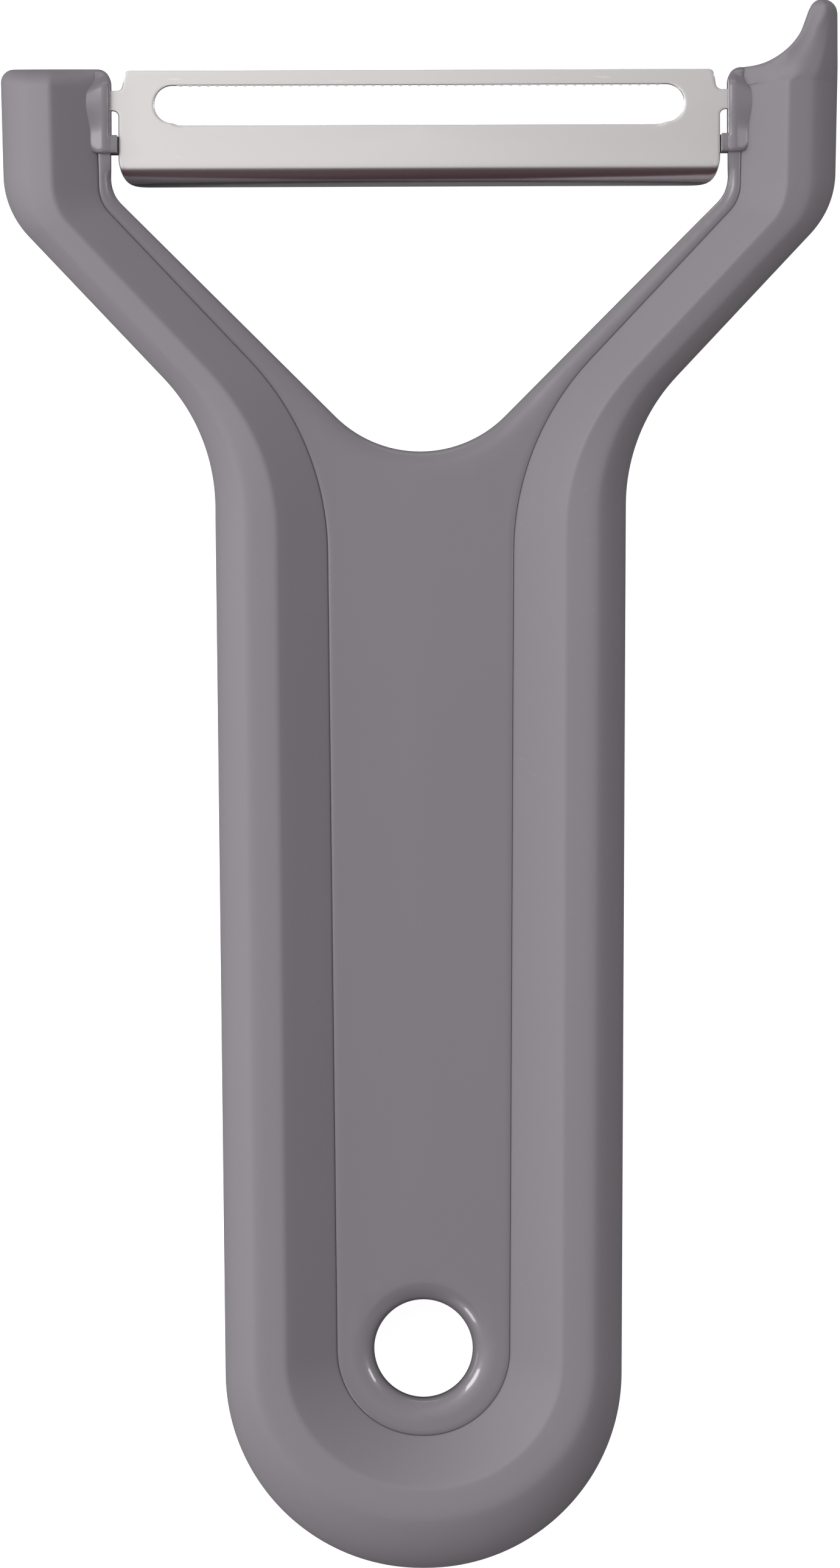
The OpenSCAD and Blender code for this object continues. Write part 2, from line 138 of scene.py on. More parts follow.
class PeelerCore(bpy.types.PropertyGroup):
    """Rigid core with its panel, rims and pivot bosses"""
    flange_t: length("Flange", "Thickness of the flange under the grip", 2.4)
    hole_d: length("Hole", "Diameter of the hanging hole", 8.8)
    hole_from_end: length("Hole place", "Handle's end to the centre of the hole", 19.6)
    hole_edge_w: length("Hole edge width", "Width of the rounded ring", 1.9)
    hole_edge_h: length("Hole edge depth", "Depth of the rounded ring", 1.2)
    lip_w: length("Throat lip", "Width of the soft lip at the throat", 2.0)
    lip_h: length("Lip depth", "Depth of the soft lip at the throat", 1.05)
    panel_edge_r: length("Panel edge", "Width of the panel's rounding beside the grip", 0.5)
    panel_edge_h: length("Panel edge depth", "Depth of that rounding", 0.13)
    crown: length("Crown", "Rise of the panel along its middle", 0.1)
    block_t: length("Block thickness", "Block front to back", 6.2)
    block_w: length("Block width", "Block from the inner face", 2)
    finger_h: length("Finger height", "Stop finger", 1.6)
    finger_drop: length("Finger drop", "Pivot down to the finger's top", 3.15)
    finger_lap: length("Finger lap", "Stop finger behind the blade", 0.9)
    stop_clear: length("Stop gap", "Blade to stop finger", 0.15)
    tint: colour("Core colour", "Colour of the hard plastic", (0.196, 0.181, 0.199))


class PeelerBlade(bpy.types.PropertyGroup):
    """Slotted blade that swivels between the arms"""
    sheet_t: length("Sheet", "Thickness of the sheet", 0.9)
    pivot_drop: length("Pivot drop", "Tops of the arms down to the pivot", 2.8)
    blade_up: length("Blade top", "Height above the pivot", 2.7)
    flat_down: length("Flat", "Pivot down to the curl", 5.8)
    curl_r: length("Curl radius", "Outer radius of the curled edge", 1.9)
    corner_r: length("Corner radius", "Lower corners", 3.0)
    slot_end_w: length("Slot end", "Metal at each end of the slot", 3.2)
    edge_up: length("Cutting edge", "Pivot up to the cutting edge", 1.23)
    slot_down: length("Slot foot", "Pivot down to the slot's lower side", 2.0)
    tooth_pitch: length("Tooth pitch", "Pitch of the serrations", 0.82)
    tooth_depth: length("Tooth depth", "Depth of the serrations", 0.12)
    tooth_margin: length("Plain edge", "Edge without serrations at each end", 1.9)
    tab_h: length("Tab height", "Pivot tabs", 1.8)
    tab_in: length("Tab depth", "Pivot tab inside its socket", 2.3)
    tab_clear: length("Socket clearance", "Radial clearance of the tabs", 0.1)
    socket_end: length("Socket end", "Tab's end to the bottom of its socket", 0.3)
    end_gap: length("End gap", "Blade's end to the arm", 0.7)
    edge_r: length("Edge softness", "Rounding of the sheet's edges", 0.07)
    lip_dip: length("Lip dip", "How much lower the slot's side is along its middle", 0.22)
    lip_fall: length("Lip fall", "How far the slot's lower lip is pressed back", 0.05)
    tint: colour("Steel colour", "Colour of the stainless steel", (0.785, 0.757, 0.747))


class PeelerStage(bpy.types.PropertyGroup):
    """Floor, light and camera"""
    camera_up: length("Camera height", "Camera above the middle of the handle's thickness", 1500)
    camera_aside: length("Camera offset", "Camera to the left of the handle's middle", 0.14)
    camera_along: length("Camera shift", "Camera above the middle of the handle's length", 0.04)
    camera_turn: bpy.props.FloatProperty(name="Camera turn", description="Turn about the view",
                                         default=math.radians(-0.2), unit="ROTATION")
    lens: bpy.props.FloatProperty(name="Lens", description="Focal length", default=385.1,
                                  unit="CAMERA")
    sky: bpy.props.FloatProperty(name="Sky", description="Strength of the room's light",
                                 default=1.03, min=0.0)
    floor_glow: bpy.props.FloatProperty(name="Floor glow", description="Glow of the lit table",
                                        default=0.95, min=0.0)
    floor_tint: colour("Floor colour", "Colour of the pale table", (0.5, 0.5, 0.51))


GROUPS = {"outline": PeelerOutline, "grip": PeelerGrip, "core": PeelerCore,
          "blade": PeelerBlade, "stage": PeelerStage}


def sizes(context, own):
    """Values of all groups, with lengths in millimetres and the tint of the group own."""
    values = {}
    for name in (*GROUPS, own):
        group = getattr(context.scene, "peeler_" + name)
        for key in group.__annotations__:
            value = getattr(group, key)
            unit = group.bl_rna.properties[key].unit
            if unit == "LENGTH":
                value = value / MM if isinstance(value, float) else [part / MM for part in value]
            values[key] = value
    return SimpleNamespace(**values)


# ---------------------------------------------------------------- plane geometry

# Largest share of a side that a soft corner takes
SIDE_SHARE = 0.45


def mixed(a, b, t):
    """Value at the share t of the way from a to b."""
    return a + (b - a) * t


def eased(t):
    """Smooth step from 0 to 1."""
    t = min(max(t, 0.0), 1.0)
    return t * t * (3 - 2 * t)


def cross(u, v):
    """Cross product of two plane vectors."""
    return u.x * v.y - u.y * v.x


def moved(a, b, c, d1, d2):
    """Corner b of the path a, b, c moved to its left: d1 from side ab, d2 from side bc."""
    u1, u2 = (b - a).normalized(), (c - b).normalized()
    return b + (d1 * u2 - d2 * u1) / cross(u1, u2)


def half_angle(a, b, c):
    """Half the angle at corner b of the path a, b, c."""
    return (a - b).angle(c - b) / 2


def arc_at(a, b, c, r, steps):
    """Arc that rounds corner b of the path a, b, c."""
    u, v = (a - b).normalized(), (c - b).normalized()
    half = half_angle(a, b, c)
    centre = b + (u + v).normalized() * r / math.sin(half)
    first = b + u * r / math.tan(half) - centre
    turn = math.copysign(math.pi - 2 * half, cross(b - a, c - b))
    points = []
    for i in range(steps + 1):
        ca, sa = math.cos(turn * i / steps), math.sin(turn * i / steps)
        points.append(centre + Vector((first.x * ca - first.y * sa, first.x * sa + first.y * ca)))
    return points


def rounded(corners, radii, steps):
    """Closed path with an arc at each corner."""
    path = []
    for k, r in enumerate(radii):
        path += arc_at(corners[k - 1], corners[k], corners[(k + 1) % len(corners)], r, steps)
    return path


def rectangle(x0, x1, y0, y1):
    """Corners of a rectangle, first along y0 and then back along y1."""
    return [Vector((x0, y0)), Vector((x1, y0)), Vector((x1, y1)), Vector((x0, y1))]


def soft_corner(a, b, c, reach, steps):
    """Points that ease the path a, b, c round its corner b, over reach on each side."""
    start = b + (a - b).normalized() * min(reach, SIDE_SHARE * (a - b).length)
    stop = b + (c - b).normalized() * min(reach, SIDE_SHARE * (c - b).length)
    return [(1 - t) ** 2 * start + 2 * t * (1 - t) * b + t * t * stop
            for t in (i / steps for i in range(steps + 1))]


def soft_min(a, b, blend):
    """Smaller of two values, eased over where they are closer than blend."""
    share = min(max(0.5 + 0.5 * (b - a) / blend, 0), 1)
    return mixed(b, a, share) - blend * share * (1 - share)


def quarter_drop(distance, width, height):
    """Fall of a quarter-ellipse edge at a distance from the rim."""
    if distance >= width:
        return 0.0
    return height * (1 - math.sqrt(max(0.0, 1 - (1 - distance / width) ** 2)))


def flipped(points):
    """The path mirrored in x and run the other way."""
    return [Vector((-p.x, p.y)) for p in reversed(points)]


def divided(points, step, closed=True):
    """The path with its long sides cut into pieces of at most one step."""
    out = []
    for i, a in enumerate(points if closed else points[:-1]):
        b = points[(i + 1) % len(points)]
        count = max(1, math.ceil((b - a).length / step))
        out += [mixed(a, b, k / count) for k in range(count)]
    return out if closed else out + points[-1:]


# ---------------------------------------------------------------- the handle's lines

END_STEPS, BEND_STEPS, THROAT_STEPS = 44, 22, 30
# Steps of the straight line before each arc: none, handle, slanted arm, upright arm
STRAIGHT_STEPS = (0, 96, 36, 10)
LAST_STEPS = 3
SMALLEST, TINY = 0.05, 1e-6


def handle_lines(s):
    """Corners, heights and lines that the grip, the core and the blade share."""
    top_y = (s.body_l - s.horn_rise) / 2
    end_y = top_y - s.body_l
    band = [s.bevel[k] + s.facet[k] + s.wall[k] for k in range(4)]
    end_c, neck_c = Vector((s.end_w / 2, end_y)), Vector((s.neck_w / 2, top_y - s.neck_drop))
    elbow_c = Vector((s.head_w / 2, top_y - s.elbow_drop))
    top_c = Vector((s.head_w / 2 + s.arm_draft, top_y))
    gap_x = s.head_w / 2 - band[3] - s.rim_arm
    inner_elbow = moved(neck_c, elbow_c, Vector((elbow_c.x, top_y)), band[2] + s.rim_slant,
                        elbow_c.x - gap_x)
    pivot_y, end_x = top_y - s.pivot_drop, gap_x - s.end_gap
    return SimpleNamespace(
        top_y=top_y, end_y=end_y, tip_y=top_y + s.horn_rise, band=band, end_c=end_c,
        neck_c=neck_c, elbow_c=elbow_c, top_c=top_c, gap_x=gap_x, inner_elbow=inner_elbow,
        throat=Vector((0, inner_elbow.y - gap_x)), half_t=s.handle_t / 2, half_web=s.web_t / 2,
        elbow_drop=s.elbow_drop, skirt_y=top_y - s.skin_t, band_y=top_y - s.arm_round_r,
        pivot_y=pivot_y, low_y=pivot_y - s.finger_drop - s.finger_h, end_x=end_x,
        slot_x=end_x - s.slot_end_w, hole_c=Vector((0, end_y + s.hole_from_end)))


def arm_side_x(h, y):
    """Outer side of the right arm at a height along it."""
    return mixed(h.elbow_c.x, h.top_c.x, min((y - h.elbow_c.y) / h.elbow_drop, 1))


def side_line(s, h, w):
    """Line at widths w inside the outer side, from the middle of the end up the right arm.

    Gives each point with its stretch: 0 at the end, 1 along the handle, 2 slanted, 3 upright.
    """
    end = moved(Vector((0, h.end_y)), h.end_c, h.neck_c, w[0], w[1])
    neck = moved(h.end_c, h.neck_c, h.elbow_c, w[1], w[2])
    elbow = moved(h.neck_c, h.elbow_c, h.top_c, w[2], w[3])
    foot = Vector((0, end.y))
    end_r = (end.x - SMALLEST) * min(1, math.tan(half_angle(foot, end, neck)))
    skirt_end = Vector((arm_side_x(h, h.skirt_y) - w[3], h.skirt_y))
    top = Vector((arm_side_x(h, h.band_y) - w[3], h.band_y))
    arcs = [
        arc_at(foot, end, neck, end_r, END_STEPS),
        arc_at(end, neck, elbow, s.neck_r + (w[1] + w[2]) / 2, BEND_STEPS),
        arc_at(neck, elbow, top, max(s.elbow_r - (w[2] + w[3]) / 2, s.inner_elbow_r), BEND_STEPS),
        [skirt_end],
    ]
    line = []
    for stretch, arc in enumerate(arcs):
        if line:
            last, count = line[-1][0], STRAIGHT_STEPS[stretch]
            line += [(mixed(last, arc[0], k / count), stretch) for k in range(1, count)]
        line += [(p, stretch + i / max(len(arc) - 1, 1)) for i, p in enumerate(arc)]
    line += [(mixed(skirt_end, top, k / LAST_STEPS), 3) for k in range(1, LAST_STEPS + 1)]
    return line


def at_stretch(values, stretch):
    """Value at a stretch, eased between the four given ones."""
    k = min(int(stretch), 2)
    return mixed(values[k], values[k + 1], eased(stretch - k))


def vee_line(s, h):
    """The V between the arms, from the right arm round the throat to the left arm."""
    top, left_elbow = Vector((h.gap_x, h.top_y)), Vector((-h.inner_elbow.x, h.inner_elbow.y))
    right = arc_at(top, h.inner_elbow, h.throat, s.inner_elbow_r, BEND_STEPS)
    throat = arc_at(h.inner_elbow, h.throat, left_elbow, s.throat_r, THROAT_STEPS)
    return right + throat + flipped(right)


# ---------------------------------------------------------------- meshes

CREASE = 40


def linked(name, data):
    """New object in the scene."""
    obj = bpy.data.objects.new(name, data)
    bpy.context.scene.collection.objects.link(obj)
    return obj


def new_piece(name, vertices, faces, crease=CREASE):
    """Closed mesh object from millimetre points, faces turned outwards."""
    mesh = bpy.data.meshes.new(name)
    mesh.from_pydata([(x * MM, y * MM, (z + MID_Z) * MM) for x, y, z in vertices], [], faces)
    bm = bmesh.new()
    bm.from_mesh(mesh)
    bmesh.ops.triangulate(bm, faces=[f for f in bm.faces if len(f.verts) > 4])
    bmesh.ops.recalc_face_normals(bm, faces=bm.faces)
    bm.to_mesh(mesh)
    bm.free()
    finish_shading(mesh, crease)
    return linked(name, mesh)


def finish_shading(mesh, crease=CREASE):
    """Smooth shading with sharp edges over the crease angle in degrees."""
    mesh.shade_smooth()
    mesh.set_sharp_from_angle(angle=math.radians(crease))


def joined(name, pieces):
    """One object from several, in the same place."""
    bm = bmesh.new()
    for piece in pieces:
        bm.from_mesh(piece.data)
        bpy.data.objects.remove(piece)
    mesh = bpy.data.meshes.new(name)
    bm.to_mesh(mesh)
    bm.free()
    finish_shading(mesh)
    return linked(name, mesh)


def settled(obj):
    """Replace an object's mesh by its evaluated one and drop its modifiers."""
    graph = bpy.context.evaluated_depsgraph_get()
    mesh = bpy.data.meshes.new_from_object(obj.evaluated_get(graph))
    obj.modifiers.clear()
    obj.data = mesh
    return obj


def combined(target, tool, operation):
    """Boolean of two closed objects, kept in the first."""
    cut = target.modifiers.new("cut", "BOOLEAN")
    cut.object, cut.operation, cut.solver = tool, operation, "EXACT"
    settled(target)
    bpy.data.objects.remove(tool)
    return target


def strip(first, second):
    """Faces between two paths of the same length."""
    return [[a, b, d, c] for a, b, c, d in zip(first, first[1:], second, second[1:])]


def bridged(first, second):
    """Faces between two closed rings of the same length."""
    return strip([*first, first[0]], [*second, second[0]])


def slab_faces(triangles, count, loops):
    """Front, back and sides of a slab whose back repeats the front's count points."""
    faces = [list(t) for t in triangles] + [[i + count for i in reversed(t)] for t in triangles]
    for loop in loops:
        faces += bridged(loop, [i + count for i in loop])
    return faces


def lathe(name, profile, centre, steps):
    """Solid turned about an axis along x, from points (x, radius) with radius 0 at both ends."""
    vertices, faces, rings = [], [], []
    for x, r in profile:
        if r == 0:
            rings.append([len(vertices)] * steps)
            vertices.append((x, centre.y, centre.z))
            continue
        rings.append(list(range(len(vertices), len(vertices) + steps)))
        for k in range(steps):
            a = math.tau * k / steps
            vertices.append((x, centre.y + r * math.cos(a), centre.z + r * math.sin(a)))
    for first, second in zip(rings, rings[1:]):
        faces += [list(dict.fromkeys(face)) for face in bridged(first, second)]
    return new_piece(name, vertices, faces)


# ---------------------------------------------------------------- soft grip

# Section: turn of the bevel, steps of each part, share of the wall above its soft foot
BEVEL_TURN = math.radians(55)
BEVEL_STEPS, SOFT_STEPS, WALL_STEPS, FOOT_STEPS, EDGE_STEPS = 8, 4, 3, 2, 7
WALL_SHARE = 0.8
BEND_REACH, HORN_BEND_REACH = 0.3, 1.2
# Parting line along the land, with its largest shares of the land and of the bevel
PARTING_H, PARTING_IN = 0.1, 0.05
PARTING_H_SHARE, PARTING_IN_SHARE = 0.6, 0.3
# Closing of the arms: gap under the land's edge, largest share of the wall's foot left upright
FOOT_GAP = 0.02
TOP_RING_SHARE, HORN_RING_SHARE = 0.5, 0.35
TOP_STEPS, TOP_TURN = 14, math.radians(86)
# Horn: steps of its scoop, lean and tip, then angles and shares of the tip
SCOOP_STEPS, LEAN_STEPS, TIP_STEPS = 20, 4, 9
TIP_LEAN, TIP_LAST = math.radians(20), math.radians(80)
TIP_ROLL = 0.85
# Scoop: start beside the wall's foot, first edge as a share of the top round, share that eases it
SCOOP_START, SCOOP_EDGE_SHARE, SCOOP_EASE = 0.2, 0.97, 0.7
# Horn's section: largest share of its width beside the ridge, blend of its heights, crest's easing
RIDGE_SHARE, HEIGHT_BLEND, CREST_EASE = 0.6, 0.5, 4


def face_profile(p):
    """Closed section as (distance from the outer side, height), front from land to inner wall."""
    bevel = []
    for i in range(BEVEL_STEPS + 1):
        a = BEVEL_TURN * i / BEVEL_STEPS
        inward = (1 - math.cos(a)) / (1 - math.cos(BEVEL_TURN))
        upward = math.sin(a) / math.sin(BEVEL_TURN)
        bevel.append(Vector((p.bevel * inward, mixed(p.foot_z, p.side_z, upward))))
    crest, bend = Vector((p.crest, p.ridge_z)), Vector((p.bend, p.bend_z))
    left, ring = Vector((p.left, p.left_z)), Vector((p.left, p.ring_z))
    shoulder = soft_corner(bevel[-2], bevel[-1], crest, p.shoulder_r, SOFT_STEPS)
    top = soft_corner(bevel[-1], crest, bend, p.crest_r, SOFT_STEPS)
    turn = soft_corner(crest, bend, left, p.bend_r, FOOT_STEPS)
    edge = soft_corner(bend, left, ring, p.edge_r, EDGE_STEPS)
    wall = [mixed(top[-1], turn[0], k / (WALL_STEPS + 1)) for k in range(1, WALL_STEPS + 1)]
    facet = [mixed(shoulder[-1], top[0], 0.5)]
    land = [Vector((0, min(PARTING_H, PARTING_H_SHARE * p.foot_z)))]
    front = land + bevel[:-1] + shoulder + facet + top + wall + turn + edge + [ring]
    back = [Vector((q.x, -q.y)) for q in reversed(front)]
    return [Vector((min(PARTING_IN, PARTING_IN_SHARE * p.bevel), 0))] + front + back


def band_profile(s, bevel, crest, width, foot_z, side_z, ridge_z, left_z, ring_z):
    """Section of the band: bevel, facet up to the crest, then the wall down to its soft foot."""
    return face_profile(SimpleNamespace(
        bevel=bevel, crest=crest, bend=mixed(crest, width, WALL_SHARE), left=width,
        foot_z=foot_z, side_z=side_z, ridge_z=ridge_z, bend_z=mixed(ridge_z, left_z, WALL_SHARE),
        left_z=left_z, ring_z=ring_z, shoulder_r=s.shoulder_r, crest_r=s.crest_r,
        bend_r=BEND_REACH, edge_r=s.groove_r))


def band_sections(s, h):
    """Sections from the middle of the handle's end up the right arm, as points and slot points."""
    outer, groove = side_line(s, h, [0, 0, 0, 0]), side_line(s, h, h.band)
    edge_z = [h.half_t, h.half_t, h.half_t - s.arm_fall, h.half_t - s.arm_fall]
    rows = []
    for (o, stretch), (g, _) in zip(outer, groove):
        width = (g - o).length
        scale = width / at_stretch(h.band, stretch)
        bevel = at_stretch(s.bevel, stretch) * scale
        crest = bevel + at_stretch(s.facet, stretch) * scale
        profile = band_profile(s, bevel, crest, width, s.land_t / 2, at_stretch(edge_z, stretch),
                               h.half_t, h.half_web, s.flange_t / 2)
        inward = (g - o) / width
        ring = [(*(o + inward * q.x), q.y) for q in profile]
        slot = [(*(o + inward * s.skin_t), z) for z in (s.flange_t / 2, -s.flange_t / 2)]
        rows.append((ring, slot if o.y <= h.skirt_y + TINY else []))
    return rows


def left_top_sections(s, h):
    """Sections that roll the left arm over its top, from the band upwards."""
    rows = []
    arm_z = h.half_t - s.arm_fall
    for i in range(1, TOP_STEPS + 1):
        a = TOP_TURN * i / TOP_STEPS
        y = h.top_y - s.arm_round_r * (1 - math.sin(a))
        fall = 1 - math.cos(a)
        land_z = s.arm_end_t / 2
        side = arm_side_x(h, y)
        over = max(y - (h.top_y - s.arm_corner_r), 0)
        drawn_in = s.arm_corner_r - math.sqrt(max(s.arm_corner_r ** 2 - over * over, 0))
        left_z = mixed(h.half_web, land_z, fall)
        profile = band_profile(
            s, s.bevel[3], s.bevel[3] + s.facet[3] - drawn_in, h.band[3] - drawn_in,
            land_z - FOOT_GAP * (1 + fall), mixed(arm_z, land_z, fall),
            mixed(h.half_t, land_z, fall), left_z, min(s.flange_t / 2, TOP_RING_SHARE * left_z))
        rows.append(([(drawn_in + q.x - side, y, q.y) for q in profile], []))
    return rows


def horn_lines(s, h):
    """Scooped side of the horn: each point with its direction inwards, edge rounding and the
    height of the outer side that belongs to it, and the outer side as a function of height."""
    lean_turn = math.pi / 2 - TIP_LEAN
    tip_r = s.tip_w / (1 + math.tan(lean_turn / 2))
    tip_c = Vector((h.top_c.x - tip_r, h.tip_y - tip_r))
    scoop_end = tip_c + tip_r * Vector((-math.sin(lean_turn), math.cos(lean_turn)))
    rise = s.scoop_r * (1 - math.cos(lean_turn))
    scoop_c = Vector((scoop_end.x - (scoop_end.y - h.top_y - rise) * math.tan(TIP_LEAN)
                      - s.scoop_r * math.sin(lean_turn), h.top_y + s.scoop_r))
    first = math.asin((h.top_c.x - h.band[3] + SCOOP_START - scoop_c.x) / s.scoop_r)
    line = []
    for i in range(SCOOP_STEPS + 1):
        t = i / SCOOP_STEPS
        a = mixed(first, lean_turn, t)
        inward = Vector((math.sin(a), -math.cos(a)))
        edge_r = mixed(SCOOP_EDGE_SHARE * s.arm_round_r, s.scoop_edge_r, eased(t / SCOOP_EASE))
        point = scoop_c + s.scoop_r * inward
        line.append((point, inward, edge_r, (point + inward * edge_r).y + SMALLEST))
    lean_from, turned_from = line[-1][0], line[-1][1]
    for i in range(1, LEAN_STEPS + 1):
        t = i / LEAN_STEPS
        point = mixed(lean_from, scoop_end, t)
        inward = mixed(turned_from, Vector((1, 0)), t).normalized()
        edge_r = mixed(s.scoop_edge_r, s.tip_edge_r, t)
        line.append((point, inward, edge_r, (point + inward * edge_r).y + SMALLEST * (1 - t)))
    for i in range(1, TIP_STEPS + 1):
        a = mixed(TIP_LEAN, TIP_LAST, i / TIP_STEPS)
        point = tip_c + tip_r * Vector((-math.cos(a), math.sin(a) / math.sin(TIP_LAST)))
        line.append((point, Vector((1, 0)), s.tip_edge_r, point.y))

    def outer_x(y):
        up = max(y - tip_c.y, 0) * math.sin(TIP_LAST) / tip_r
        return min(arm_side_x(h, y), tip_c.x + tip_r * math.sqrt(max(1 - up * up, 0)))
    return line, outer_x


def horn_sections(s, h):
    """Sections of the eye remover, from the band of the right arm to the tip."""
    line, outer_x = horn_lines(s, h)
    groove_x = h.top_c.x - h.band[3]
    crest_w = s.bevel[3] + s.facet[3]
    land_z = s.land_t / 2
    rows = []
    for left, inward, edge_r, y in line:
        t = (y - h.band_y) / (h.tip_y - h.band_y)
        right = Vector((outer_x(y), y))
        widest = RIDGE_SHARE * (right - left).length
        outside = min(mixed(crest_w, s.tip_ridge, eased(t)), widest)
        ridge = right - Vector((outside, 0))
        bend = left + inward * min(edge_r, RIDGE_SHARE * (ridge - left).length)
        over = max(y - (h.tip_y - s.tip_edge_r), 0)
        fall = 1 - math.sqrt(max(1 - (over / s.tip_edge_r) ** 2, 0))
        ridge_z = mixed(h.half_t, s.tip_t / 2, eased(t))
        wall_z = mixed(h.half_web, h.half_t, (left.x - groove_x) / (h.band[3] - crest_w))
        left_z = soft_min(wall_z, ridge_z - s.tip_fall * t, HEIGHT_BLEND)
        along = (bend.x - left.x) / max(ridge.x - left.x, SMALLEST)
        bend_z = mixed(left_z, ridge_z, min(max(along, 0), 1))
        at_bend = outside + (ridge - bend).length
        at_left = at_bend + (bend - left).length

        def rolled(z):
            """Height drawn down to the land as the tip closes."""
            return mixed(z, land_z, TIP_ROLL * fall)
        profile = face_profile(SimpleNamespace(
            bevel=outside * s.bevel[3] / crest_w, crest=outside, bend=at_bend, left=at_left,
            foot_z=land_z - FOOT_GAP, side_z=rolled(ridge_z - s.arm_fall),
            ridge_z=rolled(ridge_z), bend_z=rolled(bend_z), left_z=rolled(left_z),
            ring_z=min(s.flange_t / 2, HORN_RING_SHARE * left_z),
            shoulder_r=mixed(s.shoulder_r, s.horn_soft_r, eased(t)),
            crest_r=mixed(s.crest_r, s.horn_soft_r, eased(CREST_EASE * t)),
            bend_r=HORN_BEND_REACH, edge_r=edge_r))

        def placed(q):
            """Point of the section on the way from the outer side over ridge and bend."""
            if q.x <= outside:
                return (right.x - q.x, y, q.y)
            if q.x <= at_bend:
                p = mixed(ridge, bend, (q.x - outside) / (at_bend - outside))
            else:
                p = mixed(bend, left, (q.x - at_bend) / (at_left - at_bend))
            return (*p, q.y)
        rows.append(([placed(q) for q in profile], []))
    return rows


def grip_mesh(s, h):
    """Closed band round the handle and up both arms, with the slot that holds the flange."""
    right = band_sections(s, h)
    left = [[[(-x, y, z) for x, y, z in points] for points in row] for row in reversed(right)]
    rows = list(reversed(left_top_sections(s, h))) + left + right + horn_sections(s, h)
    vertices, faces, rings, slots = [], [], [], []
    for ring, slot in rows:
        for indices, points in ((rings, ring), (slots, slot)):
            indices.append(list(range(len(vertices), len(vertices) + len(points))))
            vertices += points
    count = len(rings[0])
    # The slot opens between the last front point and the first back point of each section
    gap = count // 2
    for k in range(len(rings) - 1):
        a, b = rings[k], rings[k + 1]
        opened = slots[k] and slots[k + 1]
        for i in range(count):
            n = (i + 1) % count
            if i == gap and opened:
                faces += strip([a[i], *slots[k], a[n]], [b[i], *slots[k + 1], b[n]])
            else:
                faces.append([a[i], a[n], b[n], b[i]])
        if not opened:
            for ring, slot in ((a, slots[k]), (b, slots[k + 1])):
                if slot:
                    faces.append([ring[gap], *slot, ring[gap + 1]])
    return vertices, faces + [rings[0], rings[-1]]


# ---------------------------------------------------------------- flat forms with rounded edges

# Spacing of samples along a path, and distance within which points are taken as one
SAMPLE, MERGED = 0.04, 1e-7
# Share of its distance that a point beside a loop keeps from every loop
KEPT_SHARE = 0.94


def sampled(path, closed):
    """Close samples of a path, each with the direction to its left."""
    points = []
    for i in range(len(path) if closed else len(path) - 1):
        a, b = path[i], path[(i + 1) % len(path)]
        edge = b - a
        normal = Vector((-edge.y, edge.x)).normalized()
        steps = max(1, math.ceil(edge.length / SAMPLE))
        points += [(mixed(a, b, k / steps), normal) for k in range(steps)]
    return points if closed else points + [(path[-1], normal)]


def search_tree(samples):
    """Search tree over the points of samples."""
    tree = KDTree(len(samples))
    for i, (p, _) in enumerate(samples):
        tree.insert((p.x, p.y, 0), i)
    tree.balance()
    return tree


def distance_from(*paths, closed=False):
    """Function that gives a point's distance from the nearest of the paths."""
    tree = search_tree([sample for path in paths for sample in sampled(path, closed)])

    def distance(p):
        return tree.find((p.x, p.y, 0))[2]
    return distance


def inside(p, loops):
    """Even-odd test of a point against closed loops."""
    odd = False
    for loop in loops:
        for i, a in enumerate(loop):
            b = loop[i - 1]
            if (a.y > p.y) != (b.y > p.y) and p.x < mixed(a.x, b.x, (p.y - a.y) / (b.y - a.y)):
                odd = not odd
    return odd


def triangulated(loops, rings, fill, clearance):
    """Flat triangles between closed loops that have their material on the left.

    rings are distances of extra lines beside each loop, fill is a list of inner points that are
    used where they keep their clearance. Gives points, triangles and the indices of each loop.
    """
    samples = [sample for loop in loops for sample in sampled(loop, True)]
    tree = search_tree(samples)

    def depth(p):
        """Distance from the loops, negative outside the material."""
        _, i, distance = tree.find((p.x, p.y, 0))
        return math.copysign(distance, (p - samples[i][0]).dot(samples[i][1]))
    points = [p for loop in loops for p in loop]
    rim = len(points)
    edges, indices = [], []
    for loop in loops:
        start = sum(len(earlier) for earlier in indices)
        indices.append(range(start, start + len(loop)))
        edges += [(start + i, start + (i + 1) % len(loop)) for i in range(len(loop))]
    for loop in loops:
        for i, p in enumerate(loop):
            along = (loop[(i + 1) % len(loop)] - loop[i - 1]).normalized()
            normal = Vector((-along.y, along.x))
            for distance in rings:
                q = p + normal * distance
                if depth(q) >= KEPT_SHARE * distance:
                    points.append(q)
    points += [p for p in fill if depth(p) > clearance]
    made, _, triangles, origin, _, _ = delaunay_2d_cdt(points, edges, [], 0, MERGED)
    place = {old: new for new, olds in enumerate(origin) for old in olds}
    rims = {place[i] for i in range(rim)}
    kept = []
    for tri in triangles:
        if all(i in rims for i in tri):
            centre = (made[tri[0]] + made[tri[1]] + made[tri[2]]) / 3
            if not inside(centre, loops):
                continue
        kept.append(tri)
    return made, kept, [[place[i] for i in loop] for loop in indices]


def grid(low, high, step_x, step_y):
    """Staggered points over a rectangle."""
    points = []
    for j in range(int((high[1] - low[1]) / step_y) + 1):
        shift = step_x / 2 if j % 2 else 0
        for i in range(int((high[0] - low[0]) / step_x) + 1):
            points.append(Vector((low[0] + shift + i * step_x, low[1] + j * step_y)))
    return points


# ---------------------------------------------------------------- rigid core

# Distances of the lines of points beside the outline, spacing and clearance of the inner points
CORE_RINGS = (0.03, 0.08, 0.15, 0.25, 0.4, 0.62, 0.9, 1.25, 1.65)
PANEL_STEP, PANEL_ROW, PANEL_CLEAR = 1.3, 1.3 * 0.87, 2.2
HOLE_STEPS = 72
VEE_STEP = 0.7
